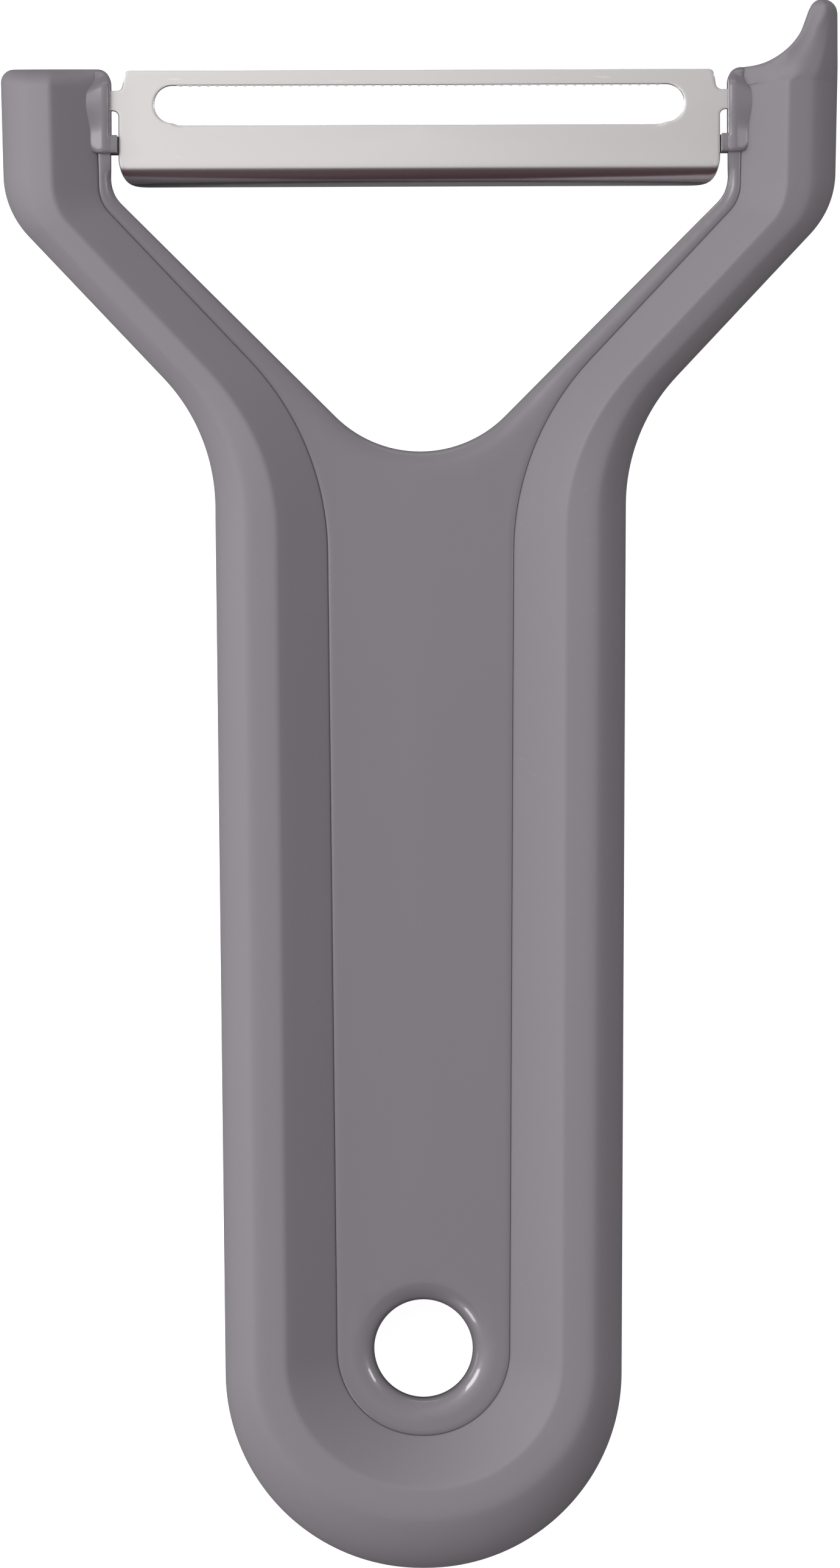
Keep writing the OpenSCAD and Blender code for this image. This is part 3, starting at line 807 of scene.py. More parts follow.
# Lip at the V: share of the room beside the grip, least width, and share of its depth when narrow
LIP_ROOM, LIP_LEAST_W, LIP_NARROW_H = 0.72, 0.6, 0.6
# Largest share of the panel's height at its rim that the flange takes
FLANGE_SHARE = 0.9


def core_height(s, h, from_groove, from_vee):
    """Function that gives the height of the core's front over a point."""
    def height(p):
        to_groove, to_vee = from_groove(p), from_vee(p)
        to_hole = (p - h.hole_c).length - s.hole_d / 2
        room = min(max(LIP_ROOM * (to_groove + to_vee), LIP_LEAST_W), s.lip_w)
        z = h.half_web + s.crown * max(0, 1 - abs(p.x) / (h.end_c.x - h.band[1]))
        z -= quarter_drop(to_groove, s.panel_edge_r, s.panel_edge_h)
        z -= quarter_drop(to_vee, room, s.lip_h * mixed(LIP_NARROW_H, 1, room / s.lip_w))
        return z - quarter_drop(to_hole, s.hole_edge_w, s.hole_edge_h)
    return height


def panel_mesh(s, h):
    """Panel, rims of both arms and the flange that runs out under the grip."""
    outer, groove = ([p for p, _ in side_line(s, h, w)] for w in ([0, 0, 0, 0], h.band))
    vee = vee_line(s, h)
    upper = [Vector((h.gap_x, h.band_y))] + vee + [Vector((-h.gap_x, h.band_y))]
    outline = groove + divided(upper, VEE_STEP, closed=False) + flipped(groove)
    hole = [h.hole_c + s.hole_d / 2 * Vector((math.cos(a), -math.sin(a)))
            for a in (math.tau * k / HOLE_STEPS for k in range(HOLE_STEPS))]
    fill = grid((-h.gap_x, h.end_y), (h.gap_x, h.top_y), PANEL_STEP, PANEL_ROW)
    flat, triangles, loops = triangulated([outline, hole], CORE_RINGS, fill, PANEL_CLEAR)
    height = core_height(s, h, distance_from(groove, flipped(groove)), distance_from(vee))
    count = len(flat)
    vertices = [(p.x, p.y, height(p)) for p in flat]
    vertices += [(x, y, -z) for x, y, z in vertices]
    faces = slab_faces(triangles, count, [])
    flange = s.flange_t / 2
    for loop in loops:
        ring_top, ring_low = [], []
        for i in loop:
            x, y, z = vertices[i]
            level = min(flange, FLANGE_SHARE * z)
            ring_top.append(len(vertices))
            ring_low.append(len(vertices) + 1)
            vertices += [(x, y, level), (x, y, -level)]
        size = len(loop)
        skirts = {i: [] for i in range(size)}
        for k, (o, g) in enumerate(zip(outer, groove)):
            if loop is loops[0] and g.y <= h.skirt_y + TINY:
                p = o + (g - o).normalized() * s.skin_t
                for i, x in ((k, p.x), (size - 1 - k, -p.x)):
                    skirts[i] = [len(vertices), len(vertices) + 1]
                    vertices += [(x, p.y, flange), (x, p.y, -flange)]
        for i in range(size):
            n = (i + 1) % size
            a, b = loop[i], loop[n]
            faces.append([a, ring_top[i], ring_top[n], b])
            faces.append([ring_low[i], a + count, b + count, ring_low[n]])
            sides = [[ring_top[end], *skirts[end], ring_low[end]] for end in (i, n)]
            if len(sides[0]) == len(sides[1]):
                faces += strip(*sides)
            else:
                faces.append([ring_top[i], ring_low[i], ring_low[n], ring_top[n]])
                faces.append(max(sides, key=len))
    return vertices, faces


# The same for the block
CARRIER_RINGS = (0.03, 0.08, 0.15, 0.24, 0.34)
CARRIER_STEP, CARRIER_CLEAR = 0.16, 0.45
# Block's outline: lap over the V's side, radii of three corners, steps of an arc, longest side
BLOCK_LAP, BLOCK_CORNERS, BLOCK_STEPS, BLOCK_SIDE = 0.03, (0.35, 0.95, 0.5), 8, 0.25
# Boss beside the block: drop below the pivot, reach along the arm, width, start and end of its
# share in the outline, measured from the block's two sides
BULGE_DROP, BULGE_REACH, BULGE_W, BULGE_START, BULGE_STOP = 0.3, 2.75, 0.9, 0.7, 0.1
# Block's front: ridge from the V's side, rise there and more at the boss, fall per millimetre
# behind the ridge beside and at the boss, and curve of the strip before the ridge
RIDGE_X, RIDGE_RISE, BOSS_RISE, LEANS, RIDGE_CURVE = 0.67, 0.32, 0.16, (0.3, 0.16), 0.2
# Top of the block, eased down to the panel's level: rise over the panel, curve behind the rim,
# roll over the top, place of the shoulder, its slope and its width
TOP_RISE, TOP_CURVE, TOP_ROLL = 0.06, 0.4, 0.95
SHOULDER_DROP, SHOULDER_SLOPE, SHOULDER_START, SHOULDER_W = 1.0, 0.4, 0.4, 1.1
# Rounded edge of the block, left out where the stop finger grows out of it
BLOCK_EDGE_W, BLOCK_EDGE_H, FINGER_ROOT, FINGER_MARGIN = 0.34, 0.3, 0.4, 0.2


def bulge(y):
    """Swell of the block at a distance along the arm from the middle of its boss."""
    return math.cos(math.pi / 2 * min(abs(y) / BULGE_REACH, 1)) ** 2


def carrier_height(s, h, boss_y, outline):
    """Function that gives the height of the block's front over a point."""
    from_edge = distance_from(outline, closed=True)
    finger_y = h.low_y + s.finger_h / 2

    def height(p):
        swell = bulge(p.y - boss_y)
        before, behind = h.gap_x + RIDGE_X - p.x, p.x - h.gap_x - RIDGE_X
        z = s.block_t / 2 + RIDGE_RISE + BOSS_RISE * swell
        z -= mixed(*LEANS, swell) * max(behind, 0) + RIDGE_CURVE * max(before, 0) ** 2
        over = p.x - h.gap_x - s.rim_arm
        level = h.half_web + TOP_RISE - TOP_CURVE * max(over, 0) ** 2
        level -= quarter_drop(h.top_y - p.y, s.arm_round_r, TOP_ROLL)
        shoulder_y = h.top_y - SHOULDER_DROP - SHOULDER_SLOPE * max(over + SHOULDER_START, 0)
        z = mixed(z, min(z, level), eased((p.y - shoulder_y) / SHOULDER_W + 0.5))
        at_finger = abs(p.y - finger_y) <= s.finger_h / 2 - FINGER_MARGIN
        if p.x > h.gap_x + FINGER_ROOT or not at_finger:
            z -= quarter_drop(from_edge(p), BLOCK_EDGE_W, BLOCK_EDGE_H)
        return z
    return height


def carrier_mesh(s, h):
    """Block of the right arm with its low boss, the same front and back."""
    boss_y = h.pivot_y - BULGE_DROP
    x0, x1 = h.gap_x - BLOCK_LAP, h.gap_x + s.block_w
    outline = rounded(rectangle(x0, x1, h.low_y, h.top_y), (*BLOCK_CORNERS, s.arm_corner_r),
                      BLOCK_STEPS)

    def out(p):
        """Width that the boss adds at a point of the block's outline."""
        share = (p.x - x0 - BULGE_START) / (x1 - x0 - BULGE_START - BULGE_STOP)
        return eased(share) * BULGE_W * bulge(p.y - boss_y)
    outline = [Vector((p.x + out(p), p.y)) for p in divided(outline, BLOCK_SIDE)]
    fill = grid((x0, h.low_y), (x1 + BULGE_W + BULGE_STOP, h.top_y), CARRIER_STEP, CARRIER_STEP)
    flat, triangles, (rim,) = triangulated([outline], CARRIER_RINGS, fill, CARRIER_CLEAR)
    height = carrier_height(s, h, boss_y, outline)
    vertices = [(p.x, p.y, height(p)) for p in flat]
    vertices += [(x, y, -z) for x, y, z in vertices]
    return vertices, slab_faces(triangles, len(flat), [rim])


# Stop finger: chamfer and its bulge, root inside the arm, place and width of the rise at the
# blade's end with its steps, rise over the block's flat front, and back inside the block's
FINGER_EDGE, FINGER_BULGE, FINGER_FOOT = 0.22, 0.3, 1.0
RISE_START, RISE_W, RISE_STEPS, RISE_OVER, FINGER_BACK = 0.06, 0.06, 6, 0.2, 0.06


def finger_mesh(s, h):
    """Stop finger behind the blade's end, which rises to the block in the gap beside it."""
    front = -s.sheet_t / 2 - s.stop_clear
    tip_x, rise_from = h.end_x - s.finger_lap, h.end_x + RISE_START
    rise = s.block_t / 2 + RISE_OVER - front
    edge, bulged = FINGER_EDGE, FINGER_BULGE * FINGER_EDGE
    columns = [(tip_x, edge), (tip_x + edge, 0)]
    columns += [(rise_from + RISE_W * k / RISE_STEPS, 0) for k in range(RISE_STEPS + 1)]
    columns += [(h.gap_x, 0), (h.gap_x + FINGER_FOOT, 0)]
    vertices, faces, rings = [], [], []
    for x, drawn_in in columns:
        up = eased((x - rise_from) / RISE_W) * rise
        top, back = front + up - drawn_in, FINGER_BACK - s.block_t / 2 + drawn_in
        low, high = h.low_y + drawn_in, h.low_y + s.finger_h - drawn_in
        ring = ((low, back + edge), (low + edge, back), (high - edge, back), (high, back + edge),
                (high, top - edge), (high - bulged, top - bulged), (high - edge, top),
                (low + edge, top), (low + bulged, top - bulged), (low, top - edge))
        rings.append(list(range(len(vertices), len(vertices) + len(ring))))
        vertices += [(x, y, z) for y, z in ring]
    for first, second in zip(rings, rings[1:]):
        faces += bridged(first, second)
    return vertices, faces + [rings[0], rings[-1]]


SOCKET_MOUTH, SOCKET_STEPS = 1.0, 48


def pivot_socket(s, h, side, wider):
    """Cutter for the blind socket of one arm that the blade's tab turns in."""
    r = math.hypot(s.tab_h, s.sheet_t) / 2 + s.tab_clear + wider
    near, deep = side * (h.gap_x - SOCKET_MOUTH), side * (h.gap_x + s.tab_in + s.socket_end)
    return lathe("socket", [(near, 0), (near, r), (deep, r), (deep, 0)],
                 Vector((0, h.pivot_y, 0)), SOCKET_STEPS)


def carrier(s, h, side):
    """Block, boss and stop finger of one arm, with the blind socket for the blade's tab."""
    block = new_piece("block", *carrier_mesh(s, h))
    body = combined(block, new_piece("finger", *finger_mesh(s, h)), "UNION")
    body = combined(body, pivot_socket(s, h, 1, 0), "DIFFERENCE")
    if side < 0:
        for v in body.data.vertices:
            v.co.x = -v.co.x
        body.data.flip_normals()
    return body


# ---------------------------------------------------------------- nodes

def fed(tree, node, inputs):
    """Set a node's inputs, by name or index, to plain values or to other nodes' outputs."""
    for key, value in inputs.items():
        if isinstance(value, bpy.types.NodeSocket):
            tree.links.new(value, node.inputs[key])
        else:
            node.inputs[key].default_value = value
    return node


def new_node(tree, kind, inputs, **settings):
    """New node with its settings and its inputs; gives its outputs."""
    node = tree.nodes.new(kind)
    for key, value in settings.items():
        setattr(node, key, value)
    return fed(tree, node, inputs).outputs


def maths(tree, operation, *values, clamp=False):
    """Output of a new math node."""
    return new_node(tree, "ShaderNodeMath", dict(enumerate(values)), operation=operation,
                    use_clamp=clamp)[0]


def declared(tree, in_out, sockets):
    """Add named sockets, given as (name, kind, default or None), to a node group."""
    for name, kind, value in sockets:
        socket = tree.interface.new_socket(name, in_out=in_out, socket_type="NodeSocket" + kind)
        if value is not None:
            socket.default_value = value


# ---------------------------------------------------------------- blade

# The same for the sheet, and its crease angle in degrees
BLADE_RINGS = (0.02, 0.045, 0.07, 0.3, 0.55)
SHEET_CLEAR, SHEET_CREASE = 0.62, 50
# Lean of the blade's ends beside and above the tabs, radii of the tabs' roots and corners
END_LEAN, ROOT_R, TAB_R = 0.3, 0.5, 0.25
CORNER_STEPS, ROOT_STEPS, TAB_STEPS, SLOT_STEPS = 12, 6, 4, 14
OUTLINE_SIDE, SLOT_SIDE = 0.6, 0.5
# Lip under the slot: reach downwards, start outside the teeth and length of its fade
LIP_REACH, LIP_OUT, LIP_FADE = 0.7, 0.4, 0.8
# Inner points of the flat and of the curl: steps along and across, and distances from the bend
FLAT_STEPS, CURL_STEPS = (0.7, 0.6), (0.7, 0.16)
FLAT_FROM, CURL_TO, CURL_FROM = 0.35, 0.2, 0.1
# Distance within which a point is taken to be on the sheet's rim
ON_RIM = 0.01
# Tooth: steps and sharpness of its scallop, root above it, and setback from both faces
TOOTH_STEPS, TOOTH_POWER, TOOTH_ROOT, TOOTH_FRONT, TOOTH_BACK = 6, 1.5, 0.12, 0.03, 0.35


def blade_outlines(s, h):
    """Closed outlines of the unrolled blade and of its slot, and the height of the bend."""
    curl_y = h.pivot_y - s.flat_down
    low, top = curl_y - (s.curl_r - s.sheet_t / 2) * math.pi / 2, h.pivot_y + s.blade_up
    tab_x, tab_low, tab_top = h.gap_x + s.tab_in, h.pivot_y - s.tab_h / 2, h.pivot_y + s.tab_h / 2
    path = [Vector(p) for p in ((0, low), (h.end_x, low), (h.end_x, tab_low), (tab_x, tab_low),
                                (tab_x, tab_top), (h.end_x - END_LEAN, tab_top),
                                (h.end_x - 2 * END_LEAN, top), (0, top))]
    root, tab = (ROOT_R, ROOT_STEPS), (TAB_R, TAB_STEPS)
    half = []
    for k, (r, steps) in enumerate(((s.corner_r, CORNER_STEPS), root, tab, tab, root, root)):
        half += arc_at(path[k], path[k + 1], path[k + 2], r, steps)
    up, down = h.pivot_y + s.edge_up + s.tooth_depth, h.pivot_y - s.slot_down
    slot = rounded(rectangle(-h.slot_x, h.slot_x, up, down), [(up - down) / 2 - SMALLEST] * 4,
                   SLOT_STEPS)
    return divided(half + flipped(half), OUTLINE_SIDE), divided(slot, SLOT_SIDE), curl_y


def sheet_mesh(s, h):
    """Blade's sheet: flat with a pressed-back lip under the slot, its lower edge curled back."""
    outline, slot, curl_y = blade_outlines(s, h)
    lip_x, lip_y = h.slot_x - s.tooth_margin + LIP_OUT, h.pivot_y - s.slot_down

    def lip(p):
        """1 at the lower side of the slot, 0 away from it."""
        if p.y > h.pivot_y:
            return 0.0
        return eased(1 - (lip_y - p.y) / LIP_REACH) * eased((lip_x - abs(p.x)) / LIP_FADE)
    slot = [Vector((p.x, p.y - s.lip_dip * lip(p))) if p.y < h.pivot_y else p for p in slot]
    low = min(p.y for p in outline)
    fill = grid((-h.gap_x, curl_y + FLAT_FROM), (h.gap_x, h.top_y), *FLAT_STEPS)
    fill += grid((-h.gap_x, low + CURL_FROM), (h.gap_x, curl_y + CURL_TO), *CURL_STEPS)
    flat, triangles, loops = triangulated([outline, slot], BLADE_RINGS, fill, SHEET_CLEAR)
    from_rim = distance_from(outline, slot, closed=True)
    radius = s.curl_r - s.sheet_t / 2
    vertices = []
    for face in (1, -1):
        for p in flat:
            distance = from_rim(p)
            if distance < ON_RIM:
                distance = 0.0
            off = face * (s.sheet_t / 2 - quarter_drop(distance, s.edge_r, s.edge_r))
            turn = max(curl_y - p.y, 0) / radius
            y = p.y if turn == 0 else curl_y - (radius + off) * math.sin(turn)
            z = off if turn == 0 else (radius + off) * math.cos(turn) - radius
            vertices.append((p.x, y, z - s.lip_fall * lip(p) ** 2))
    return vertices, slab_faces(triangles, len(flat), loops)


def tooth_tree(steel):
    """Geometry nodes that repeat one tooth along the cutting edge."""
    tree = bpy.data.node_groups.new("Blade teeth", "GeometryNodeTree")
    tree.is_modifier = True
    declared(tree, "INPUT", (("Tooth", "Geometry", None), ("Count", "Int", 50),
                             ("Pitch", "Float", 0.001), ("Start", "Vector", (0, 0, 0))))
    declared(tree, "OUTPUT", (("Teeth", "Geometry", None),))
    given = new_node(tree, "NodeGroupInput", {})
    step = new_node(tree, "ShaderNodeCombineXYZ", {"X": given["Pitch"]})
    line = new_node(tree, "GeometryNodeMeshLine", {
        "Count": given["Count"], "Start Location": given["Start"], "Offset": step["Vector"]},
        mode="OFFSET")
    place = new_node(tree, "GeometryNodeInstanceOnPoints", {
        "Points": line["Mesh"], "Instance": given["Tooth"]})
    real = new_node(tree, "GeometryNodeRealizeInstances", {"Geometry": place["Instances"]})
    paint = new_node(tree, "GeometryNodeSetMaterial", {
        "Geometry": real["Geometry"], "Material": steel})
    new_node(tree, "NodeGroupOutput", {"Teeth": paint["Geometry"]})
    return tree


def blade_teeth(s, h, steel):
    """Row of pointed teeth between the scallops of the cutting edge."""
    half, low = s.tooth_pitch / 2, s.sheet_t / 2
    edge = []
    for i in range(TOOTH_STEPS + 1):
        t = i / TOOTH_STEPS
        rise = 1 - math.sin(math.pi * abs(t - 0.5))
        edge.append((mixed(-half, half, t), -s.tooth_depth * rise ** TOOTH_POWER))
    ring = [(-half, TOOTH_ROOT), (half, TOOTH_ROOT)] + edge[::-1]
    vertices = [(x, y, z) for z in (low - TOOTH_FRONT, TOOTH_BACK - low) for x, y in ring]
    front, back = list(range(len(ring))), list(range(len(ring), 2 * len(ring)))
    tooth = new_piece("tooth", vertices, [front, back[::-1]] + bridged(front, back))
    for v in tooth.data.vertices:
        v.co.z -= MID_Z * MM
    count = int(2 * (h.slot_x - s.tooth_margin) / s.tooth_pitch)
    tree = tooth_tree(steel)
    nodes = tooth.modifiers.new("teeth", "NODES")
    nodes.node_group = tree
    values = {"Count": count, "Pitch": s.tooth_pitch * MM,
              "Start": (-(count - 1) / 2 * s.tooth_pitch * MM,
                        (h.pivot_y + s.edge_up + s.tooth_depth) * MM, MID_Z * MM)}
    for item in tree.interface.items_tree:
        if item.name in values:
            nodes[item.identifier] = values[item.name]
    return settled(tooth)


# ---------------------------------------------------------------- finishes

# Noise values over which a speck fades in, and octaves of each noise
SPECK_FROM, SPECK_TO = 0.74, 0.8
MOTTLE_DETAIL, GRAIN_DETAIL, SPECK_DETAIL = 4, 2, 1
# Polish round the hole: its amount, the length over which it fades and its reach from the hole
POLISH, POLISH_FADE, POLISH_REACH = 0.6, 2.0, 3.5
SURFACE_INPUTS = (
    ("Position", "Vector", (0, 0, 0)), ("Colour", "Color", (0.2, 0.2, 0.2, 1)),
    ("Mottle", "Float", 0.05), ("Mottle size", "Float", 10), ("Grain size", "Float", 0.2),
    ("Roughness", "Float", 0.5), ("Roughness change", "Float", 0.1),
    ("Polished place", "Vector", (0, 0, 0)), ("Polished radius", "Float", -1.0),
    ("Specks", "Float", 0.0), ("Speck size", "Float", 0.5))
SURFACE_OUTPUTS = (("Colour", "Color", None), ("Roughness", "Float", None),
                   ("Height", "Float", None), ("Polish", "Float", None))


def surface_group():
    """Shader nodes that both plastics and the steel share: mottled colour, roughness and grain."""
    name = "Worked surface"
    if name in bpy.data.node_groups:
        return bpy.data.node_groups[name]
    group = bpy.data.node_groups.new(name, "ShaderNodeTree")
    declared(group, "INPUT", SURFACE_INPUTS)
    declared(group, "OUTPUT", SURFACE_OUTPUTS)
    given = new_node(group, "NodeGroupInput", {})

    def noise(size, detail):
        return new_node(group, "ShaderNodeTexNoise", {
            "Vector": given["Position"], "Scale": maths(group, "DIVIDE", 1 / MM, given[size]),
            "Detail": detail})["Fac"]

    def change(fac, amount, base):
        """base plus amount times the noise's distance from its middle."""
        return maths(group, "MULTIPLY_ADD", maths(group, "SUBTRACT", fac, 0.5), amount, base)
    large = noise("Mottle size", MOTTLE_DETAIL)
    few = new_node(group, "ShaderNodeMapRange", {
        "Value": noise("Speck size", SPECK_DETAIL), "From Min": SPECK_FROM, "From Max": SPECK_TO})
    speck = maths(group, "MULTIPLY_ADD", few["Result"], given["Specks"], 1.0)
    shade = new_node(group, "ShaderNodeVectorMath", {
        0: given["Colour"], "Scale": change(large, given["Mottle"], speck)}, operation="SCALE")
    away = new_node(group, "ShaderNodeVectorMath", {
        0: given["Position"], 1: given["Polished place"]}, operation="DISTANCE")
    within = maths(group, "SUBTRACT", given["Polished radius"], away["Value"])
    near = maths(group, "MULTIPLY", within, 1 / (POLISH_FADE * MM), clamp=True)
    new_node(group, "NodeGroupOutput", {
        "Colour": shade["Vector"],
        "Roughness": change(large, given["Roughness change"], given["Roughness"]),
        "Height": noise("Grain size", GRAIN_DETAIL),
        "Polish": maths(group, "MULTIPLY", near, POLISH)})
    return group


def finish(name, tint, values, bump, settings, stretch=None):
    """Material around the shared surface nodes, with the strength and the height of its bump.

    values are for the surface nodes, settings go straight to the shader's sockets.
    """
    material = bpy.data.materials.new(name)
    material.use_nodes = True
    tree = material.node_tree
    place = new_node(tree, "ShaderNodeTexCoord", {})["Object"]
    if stretch:
        place = new_node(tree, "ShaderNodeMapping", {"Vector": place, "Scale": stretch})["Vector"]
    surface = new_node(tree, "ShaderNodeGroup", {
        "Position": place, "Colour": (*tint, 1), **values}, node_tree=surface_group())
    relief = new_node(tree, "ShaderNodeBump", {
        "Strength": bump[0], "Distance": bump[1] * MM, "Height": surface["Height"]})
    fed(tree, tree.nodes["Principled BSDF"], {
        "Base Color": surface["Colour"], "Roughness": surface["Roughness"],
        "Coat Weight": surface["Polish"], "Normal": relief["Normal"], **settings})
    return material


# ---------------------------------------------------------------- operators

def dressed(obj, material, body, node):
    """Give a finished piece its material and its body, and hide the node that it stands for."""
    obj.data.materials.clear()
    obj.data.materials.append(material)
    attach(obj, body)
    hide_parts(node)


# Soft windows round the table: place, size in metres and power in watts
WINDOWS = (("window_above", (-0.13, 0.135, 0.5), (0.27, 0.41), 0.15),
           ("window_high", (-0.32, 0.14, 0.4), (0.16, 0.16), 1.1),
           ("window_low", (-0.26, -0.26, 0.3), (0.1, 0.1), 0.35),
           ("window_left", (-0.42, 0.08, 0.09), (0.22, 0.14), 0.36),
           ("window_top", (0.0, 0.26, 0.035), (0.2, 0.05), 0.06),
           ("window_right", (0.32, 0.1, 0.34), (0.09, 0.09), 0.34))
# Height over which a window faces straight down instead of towards the object
OVERHEAD = 0.45
FLOOR_SIDE, FLOOR_ROUGHNESS = 4, 0.9
# Share of the table's tone that the blade mirrors
MIRRORED_FLOOR = 0.3
# Room light by direction, as pairs of the share along an axis and the colour or amount there
ROOM_STOPS = ((-0.2, (1, 1, 1)), (0.12, (0.88, 0.88, 0.88)), (0.4, (0.62, 0.62, 0.63)))
DARK_STOPS = ((-0.3, (1, 1, 1)), (-0.2, (0, 0, 0)))
MIDDLE_STOPS = ((-0.5, (0, 0, 0)), (-0.3, (1, 1, 1)), (0.3, (1, 1, 1)), (0.5, (0, 0, 0)))
ROOM_TINT, DARK_TINT = (0.58, 0.575, 0.585), (0.05, 0.022, 0.03)
SENSOR, CLIP_START, CLIP_END = 36, 0.01, 20


class PEELER_OT_stage(bpy.types.Operator):
    """Lay the pale floor, light it softly and set the camera straight above"""
    bl_idname = "peeler.stage"
    bl_label = "Stage"

    def execute(self, context):
        s = sizes(context, "stage")
        scene = context.scene
        mesh = bpy.data.meshes.new("floor")
        half = FLOOR_SIDE / 2
        corners = [(*p, 0) for p in rectangle(-half, half, -half, half)]
        mesh.from_pydata(corners, [], [(0, 1, 2, 3)])
        floor = linked("floor", mesh)
        mesh.materials.append(self.table(s))
        self.add_room(scene, s.sky)
        for window in WINDOWS:
            self.add_window(*window)
        camera = linked("camera", bpy.data.cameras.new("camera"))
        camera.data.lens = s.lens
        camera.data.sensor_width = SENSOR
        camera.location = (-s.camera_aside * MM, s.camera_along * MM, (MID_Z + s.camera_up) * MM)
        camera.rotation_euler = (0, 0, s.camera_turn)
        camera.data.clip_start, camera.data.clip_end = CLIP_START, CLIP_END
        scene.camera = camera
        scene.view_settings.view_transform = "Standard"
        return {"FINISHED"}

    @staticmethod
    def table(s):
        """Pale table that glows for the camera and is dimmer in reflections."""
        pale = bpy.data.materials.new("Pale table")
        pale.use_nodes = True
        tree = pale.node_tree
        seen = new_node(tree, "ShaderNodeLightPath", {})
        dim = maths(tree, "MULTIPLY_ADD", seen["Is Glossy Ray"], MIRRORED_FLOOR - 1, 1.0)
        tone = new_node(tree, "ShaderNodeVectorMath", {0: s.floor_tint, "Scale": dim},
                        operation="SCALE")
        glow = maths(tree, "MULTIPLY", seen["Is Camera Ray"], s.floor_glow)
        fed(tree, tree.nodes["Principled BSDF"], {
            "Base Color": tone["Vector"], "Roughness": FLOOR_ROUGHNESS,
            "Emission Color": (1, 1, 1, 1), "Emission Strength": glow})
        return pale

    @staticmethod
    def add_room(scene, strength):
        """Soft room, dimmer on the right, with a dark zone below the picture."""
        world = bpy.data.worlds.new("room")
        world.use_nodes = True
        tree = world.node_tree
        where = new_node(tree, "ShaderNodeTexCoord", {})["Generated"]

        def toned(axis, stops):
            """Colour by the view direction's share along an axis."""
            along = new_node(tree, "ShaderNodeVectorMath", {0: where, 1: axis},
                             operation="DOT_PRODUCT")["Value"]
            ramp = tree.nodes.new("ShaderNodeValToRGB")
            fed(tree, ramp, {"Fac": maths(tree, "MULTIPLY_ADD", along, 0.5, 0.5)})
            points = ramp.color_ramp.elements
            while len(points) < len(stops):
                points.new(0.5)
            for point, (value, tint) in zip(points, stops):
                point.position, point.color = 0.5 + 0.5 * value, (*tint, 1)
            return ramp.outputs["Color"]

        def multiplied(first, second):
            return new_node(tree, "ShaderNodeVectorMath", {0: first, 1: second},
                            operation="MULTIPLY")["Vector"]
        mix = tree.nodes.new("ShaderNodeMix")
        mix.data_type = "RGBA"
        sockets = {socket.identifier: socket for socket in (*mix.inputs, *mix.outputs)}
        dark = multiplied(toned((0, 1, 0), DARK_STOPS), toned((1, 0, 0), MIDDLE_STOPS))
        tree.links.new(dark, sockets["Factor_Float"])
        tree.links.new(multiplied(toned((1, 0, 0), ROOM_STOPS), ROOM_TINT), sockets["A_Color"])
        sockets["B_Color"].default_value = (*DARK_TINT, 1)
        fed(tree, tree.nodes["Background"], {
            "Strength": strength, "Color": sockets["Result_Color"]})
        scene.world = world

    @staticmethod
    def add_window(name, place, size, power):
        """Rectangular soft light that the camera doesn't see."""
        light = bpy.data.lights.new(name, "AREA")
        light.shape, light.energy = "RECTANGLE", power
        light.size, light.size_y = size
        obj = linked(name, light)
        obj.location = place
        aim = Vector((0, 0, -1)) if place[2] > OVERHEAD else -Vector(place)
        obj.rotation_euler = aim.to_track_quat("-Z", "Y").to_euler()
        obj.visible_camera = False


class PEELER_OT_soft_grip(bpy.types.Operator):
    """Mould the soft grip round the handle, up both arms and out to the eye remover"""
    bl_idname = "peeler.soft_grip"
    bl_label = "Soft grip"

    def execute(self, context):
        s = sizes(context, "grip")
        h = handle_lines(s)
        piece = new_piece("grip_moulding", *grip_mesh(s, h))
        for side in (1, -1):
            combined(piece, pivot_socket(s, h, side, s.socket_end), "DIFFERENCE")
        finish_shading(piece.data)
        matt = finish("Matt soft plastic", s.tint,
                      {"Mottle": 0.05, "Mottle size": 14, "Grain size": 0.16, "Roughness": 0.6,
                       "Roughness change": 0.08, "Specks": 0.12, "Speck size": 0.3},
                      (0.35, 0.012), {"Specular IOR Level": 0.4})
        dressed(piece, matt, "handle", "soft_grip")
        return {"FINISHED"}


class PEELER_OT_rigid_core(bpy.types.Operator):
    """Mould the rigid core: panel, rims, flange and the bosses that carry the blade"""
    bl_idname = "peeler.rigid_core"
    bl_label = "Rigid core"

    def execute(self, context):
        s = sizes(context, "core")
        h = handle_lines(s)
        panel = new_piece("panel", *panel_mesh(s, h))
        for side in (1, -1):
            combined(panel, pivot_socket(s, h, side, 0), "DIFFERENCE")
        piece = joined("core_moulding", [panel, carrier(s, h, 1), carrier(s, h, -1)])
        satin = finish("Satin hard plastic", s.tint,
                       {"Mottle": 0.04, "Mottle size": 18, "Grain size": 0.3, "Roughness": 0.3,
                        "Roughness change": 0.08,
                        "Polished radius": (s.hole_d / 2 + POLISH_REACH) * MM,
                        "Polished place": (0, h.hole_c.y * MM, MID_Z * MM)},
                       (0.1, 0.006), {"Specular IOR Level": 0.5, "Coat Roughness": 0.06})
        dressed(piece, satin, "handle", "handle_core")
        return {"FINISHED"}


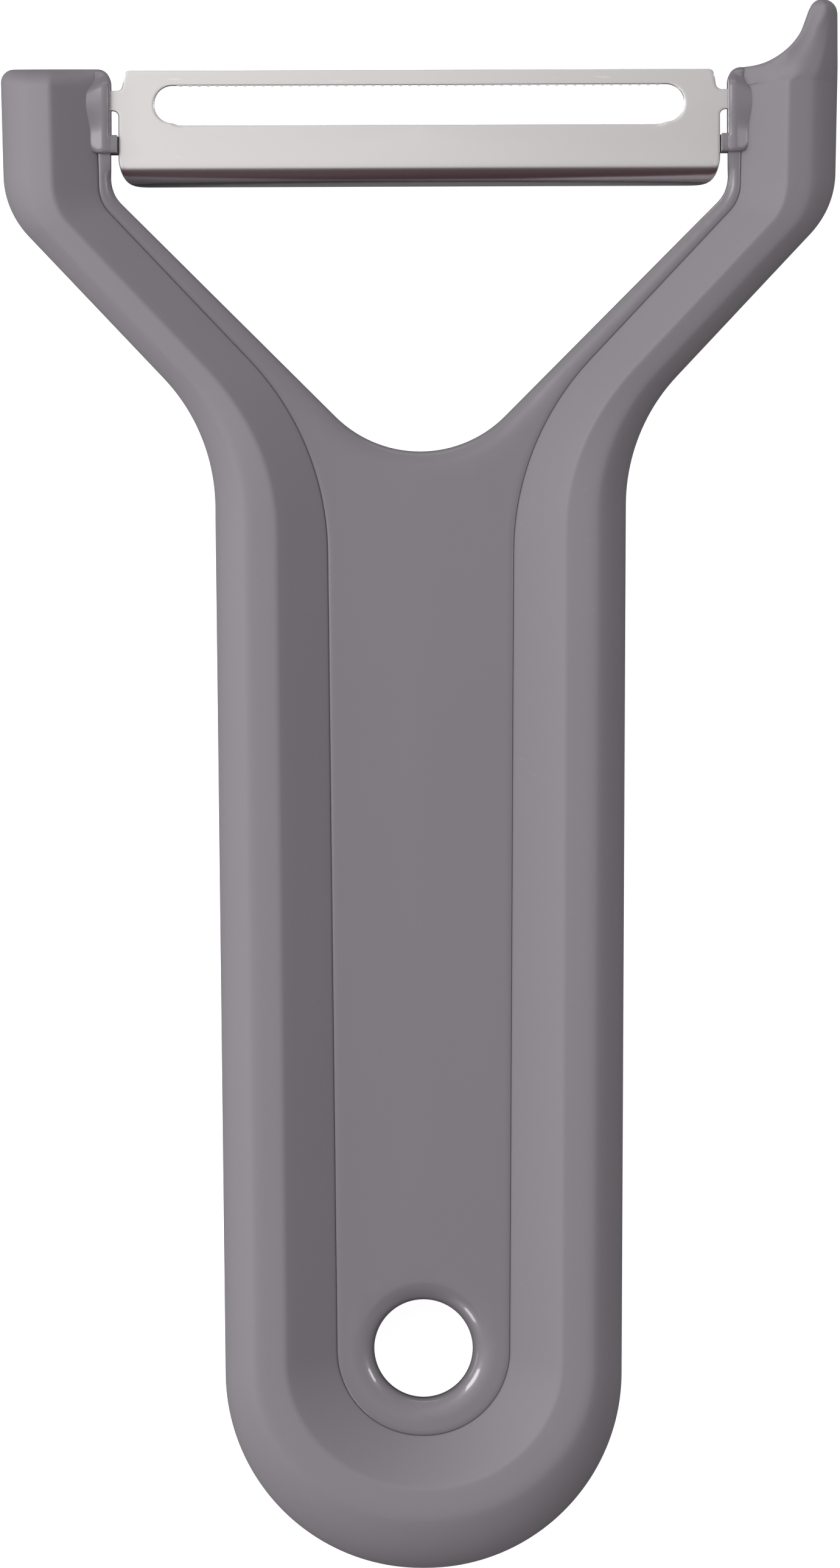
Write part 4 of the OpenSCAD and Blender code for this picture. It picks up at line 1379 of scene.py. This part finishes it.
class PEELER_OT_blade(bpy.types.Operator):
    """Press the slotted blade with its curled back, pivot tabs and fine teeth"""
    bl_idname = "peeler.blade"
    bl_label = "Blade"

    def execute(self, context):
        s = sizes(context, "blade")
        h = handle_lines(s)
        steel = finish("Satin steel", s.tint,
                       {"Mottle": 0.05, "Mottle size": 9, "Grain size": 0.1, "Roughness": 0.23,
                        "Roughness change": 0.1, "Specks": 0.12, "Speck size": 0.35},
                       (0.25, 0.004), {"Metallic": 1.0, "Anisotropic": 0.2}, stretch=(0.12, 1, 1))
        sheet = new_piece("sheet", *sheet_mesh(s, h), crease=SHEET_CREASE)
        piece = joined("blade_sheet", [sheet, blade_teeth(s, h, steel)])
        dressed(piece, steel, "blade", "blade")
        return {"FINISHED"}


OPERATORS = (PEELER_OT_stage, PEELER_OT_soft_grip, PEELER_OT_rigid_core, PEELER_OT_blade)


class PEELER_PT_parts(bpy.types.Panel):
    """Peeler's pieces and their sizes"""
    bl_idname = "PEELER_PT_parts"
    bl_label = "Vegetable peeler"
    bl_space_type = "VIEW_3D"
    bl_region_type = "UI"
    bl_category = "Peeler"

    def draw(self, context):
        for operator in OPERATORS:
            self.layout.operator(operator.bl_idname)
        for name, kind in GROUPS.items():
            box = self.layout.box()
            box.label(text=kind.__doc__)
            for key in kind.__annotations__:
                box.prop(getattr(context.scene, "peeler_" + name), key)


def register():
    for kind in (*GROUPS.values(), *OPERATORS, PEELER_PT_parts):
        bpy.utils.register_class(kind)
    for name, kind in GROUPS.items():
        setattr(bpy.types.Scene, "peeler_" + name, bpy.props.PointerProperty(type=kind))


def unregister():
    for name in GROUPS:
        delattr(bpy.types.Scene, "peeler_" + name)
    for kind in (PEELER_PT_parts, *reversed(OPERATORS), *reversed(GROUPS.values())):
        bpy.utils.unregister_class(kind)


def main():
    register()
    bpy.ops.peeler.stage()
    bpy.ops.peeler.soft_grip()
    bpy.ops.peeler.rigid_core()
    bpy.ops.peeler.blade()


if __name__ == "__main__":
    main()
